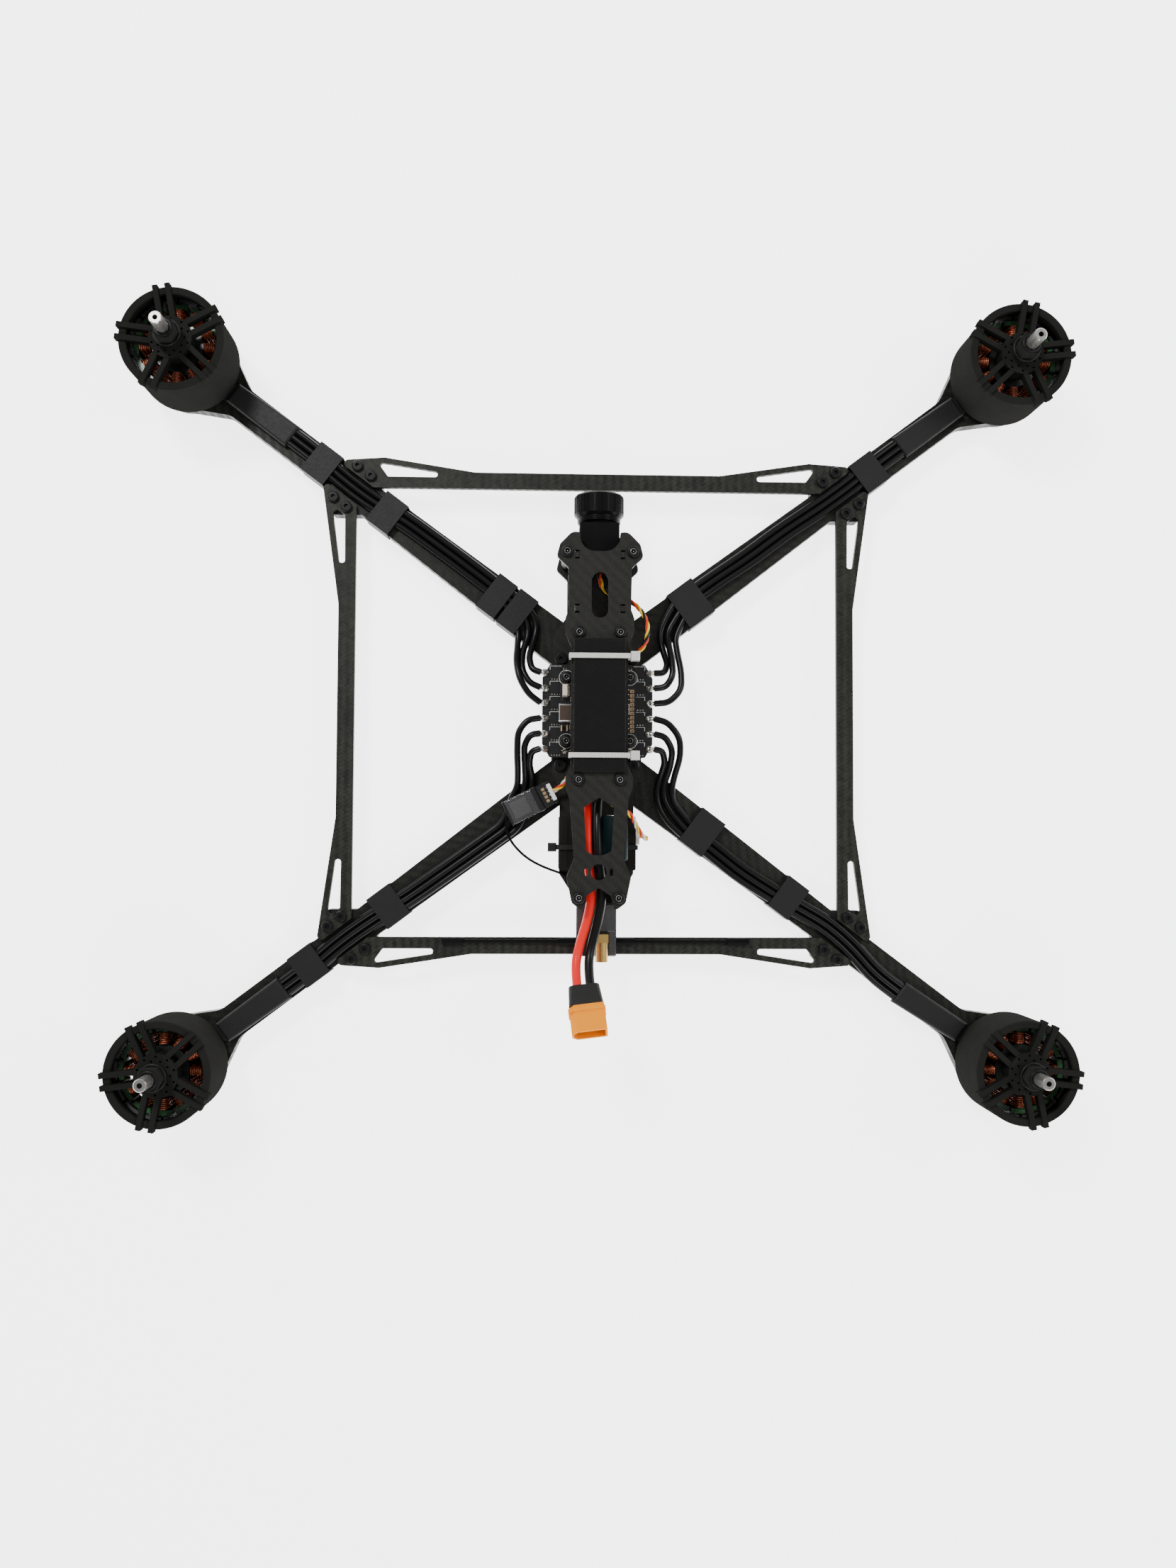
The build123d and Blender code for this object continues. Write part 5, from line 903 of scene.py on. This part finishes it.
hex_nut = bmesh.new()
SMA = Matrix.Translation(mm(2.4, 0, 22.05)) @ Matrix.Rotation(math.radians(90), 4, "X")
disc(hex_nut, (0, 0, 111.6), 3.15, 1.6, place=SMA, sides=6)
for k in range(10):
    lathe(hex_nut, [(3.05, 114.0 + 0.6 * k), (3.15, 114.3 + 0.6 * k), (3.05, 114.55 + 0.6 * k)], place=SMA,
          closed=True, sides=40)
piece("connector_thread", hex_nut, BRASS, smooth=False)
tail = bmesh.new()
rng = random.Random(5)
for k in range(14):
    passive(tail, -7.4 + 2.1 * (k % 5), -95.4 - 3.4 * (k // 5), 18.9, long=1.4, wide=0.8,
            upright=k % 2 == 0, body=rng.choice((1, 2)))
block(tail, (-5.0, -107.5, 19.4), (5.0, 5.0, 1.0), index=1)
soften(piece("rear_board_parts", tail, [SOLDER, CHIP, TAN], smooth=False), 0.08, 1)
# a thin sheet of shrink over the rear board, coloured grey as a painted sheen
sheen_film = bmesh.new()
block(sheen_film, (0, -100.2, 19.35), (18.8, 13.0, 0.5))
block(sheen_film, (7.8, -112.4, 19.15), (3.4, 11.4, 0.5))
soften(piece("rear_board_shrink_sheen", sheen_film, SHEEN_FILM), 0.3, 3)

# ---- battery pad --------------------------------------------------------------------------
PAD_DIP = 0.0004                 # the uneven face lies this far under the pad's top, in metres
FUZZ_COUNT, FUZZ_REACH, FUZZ_HALF_WIDE = 2600, 0.0007, 0.00006
low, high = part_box("battery_pad")
cover = bmesh.new()
bmesh.ops.create_grid(cover, x_segments=60, y_segments=150, size=0.5)
rng = random.Random(3)
for v in cover.verts:
    x, y = v.co.x, v.co.y
    edge = min(0.5 - abs(x), 0.5 - abs(y))
    v.co = Vector((low.x + (x + 0.5) * (high.x - low.x), low.y + (y + 0.5) * (high.y - low.y),
                   high.z - PAD_DIP + 0.00035 * min(1.0, edge * 40) * rng.uniform(0.6, 1.0)))
edge_loop = [e for e in cover.edges if e.is_boundary]
skirt = bmesh.ops.extrude_edge_only(cover, edges=edge_loop)
for v in [g for g in skirt["geom"] if isinstance(g, bmesh.types.BMVert)]:
    v.co.z = low.z
    v.co.x += rng.uniform(-0.12, 0.12) * MM
    v.co.y += rng.uniform(-0.12, 0.12) * MM
bmesh.ops.holes_fill(cover, edges=[e for e in cover.edges if e.is_boundary])
pad = piece("grip_pad_cover", cover, PAD)
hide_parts("battery_pad")
fuzz = bmesh.new()
for _ in range(FUZZ_COUNT):
    x = rng.uniform(low.x + 0.0003, high.x - 0.0003)
    y = rng.uniform(low.y + 0.0003, high.y - 0.0003)
    a = rng.uniform(0, 2 * math.pi)
    root = Vector((x, y, high.z - PAD_DIP))
    tip = root + Vector((math.cos(a) * FUZZ_REACH, math.sin(a) * FUZZ_REACH, FUZZ_REACH))
    side = Vector((-math.sin(a), math.cos(a), 0)) * FUZZ_HALF_WIDE
    fuzz.faces.new([fuzz.verts.new(root - side), fuzz.verts.new(root + side), fuzz.verts.new(tip)])
piece("grip_pad_fuzz", fuzz, PAD, smooth=False)

# ---- light and floor ----------------------------------------------------------------------
floor_mesh = bmesh.new()
bmesh.ops.create_grid(floor_mesh, x_segments=1, y_segments=1, size=6.0)
floor_data = bpy.data.meshes.new("floor")
floor_mesh.to_mesh(floor_data)
floor_mesh.free()
floor = bpy.data.objects.new("floor", floor_data)
bpy.context.collection.objects.link(floor)
floor_shader = Shader("floor")
floor_shader.set(Base_Color=rgb(0.95, 0.95, 0.95), Roughness=0.9, Emission_Color=rgb(1, 1, 1),
                 Emission_Strength=3.4)
floor_data.materials.append(floor_shader.material)

world = bpy.data.worlds.new("studio")
world.use_nodes = True
world.node_tree.nodes["Background"].inputs["Color"].default_value = (1, 1, 1, 1)
world.node_tree.nodes["Background"].inputs["Strength"].default_value = 0.55
bpy.context.scene.world = world


def softbox(name, place, target, size, power):
    """A square area light aimed at a point."""
    light = bpy.data.lights.new(name, "AREA")
    light.size = size
    light.energy = power
    obj = bpy.data.objects.new(name, light)
    obj.location = place
    obj.rotation_euler = (Vector(target) - Vector(place)).to_track_quat("-Z", "Y").to_euler()
    bpy.context.collection.objects.link(obj)


softbox("key", (-0.55, 0.75, 1.15), (0, 0, 0), 0.3, 16)
softbox("fill", (0.9, 0.2, 0.9), (0, 0, 0), 0.5, 6)
softbox("back", (0.1, -1.0, 0.9), (0, 0, 0), 0.35, 6)
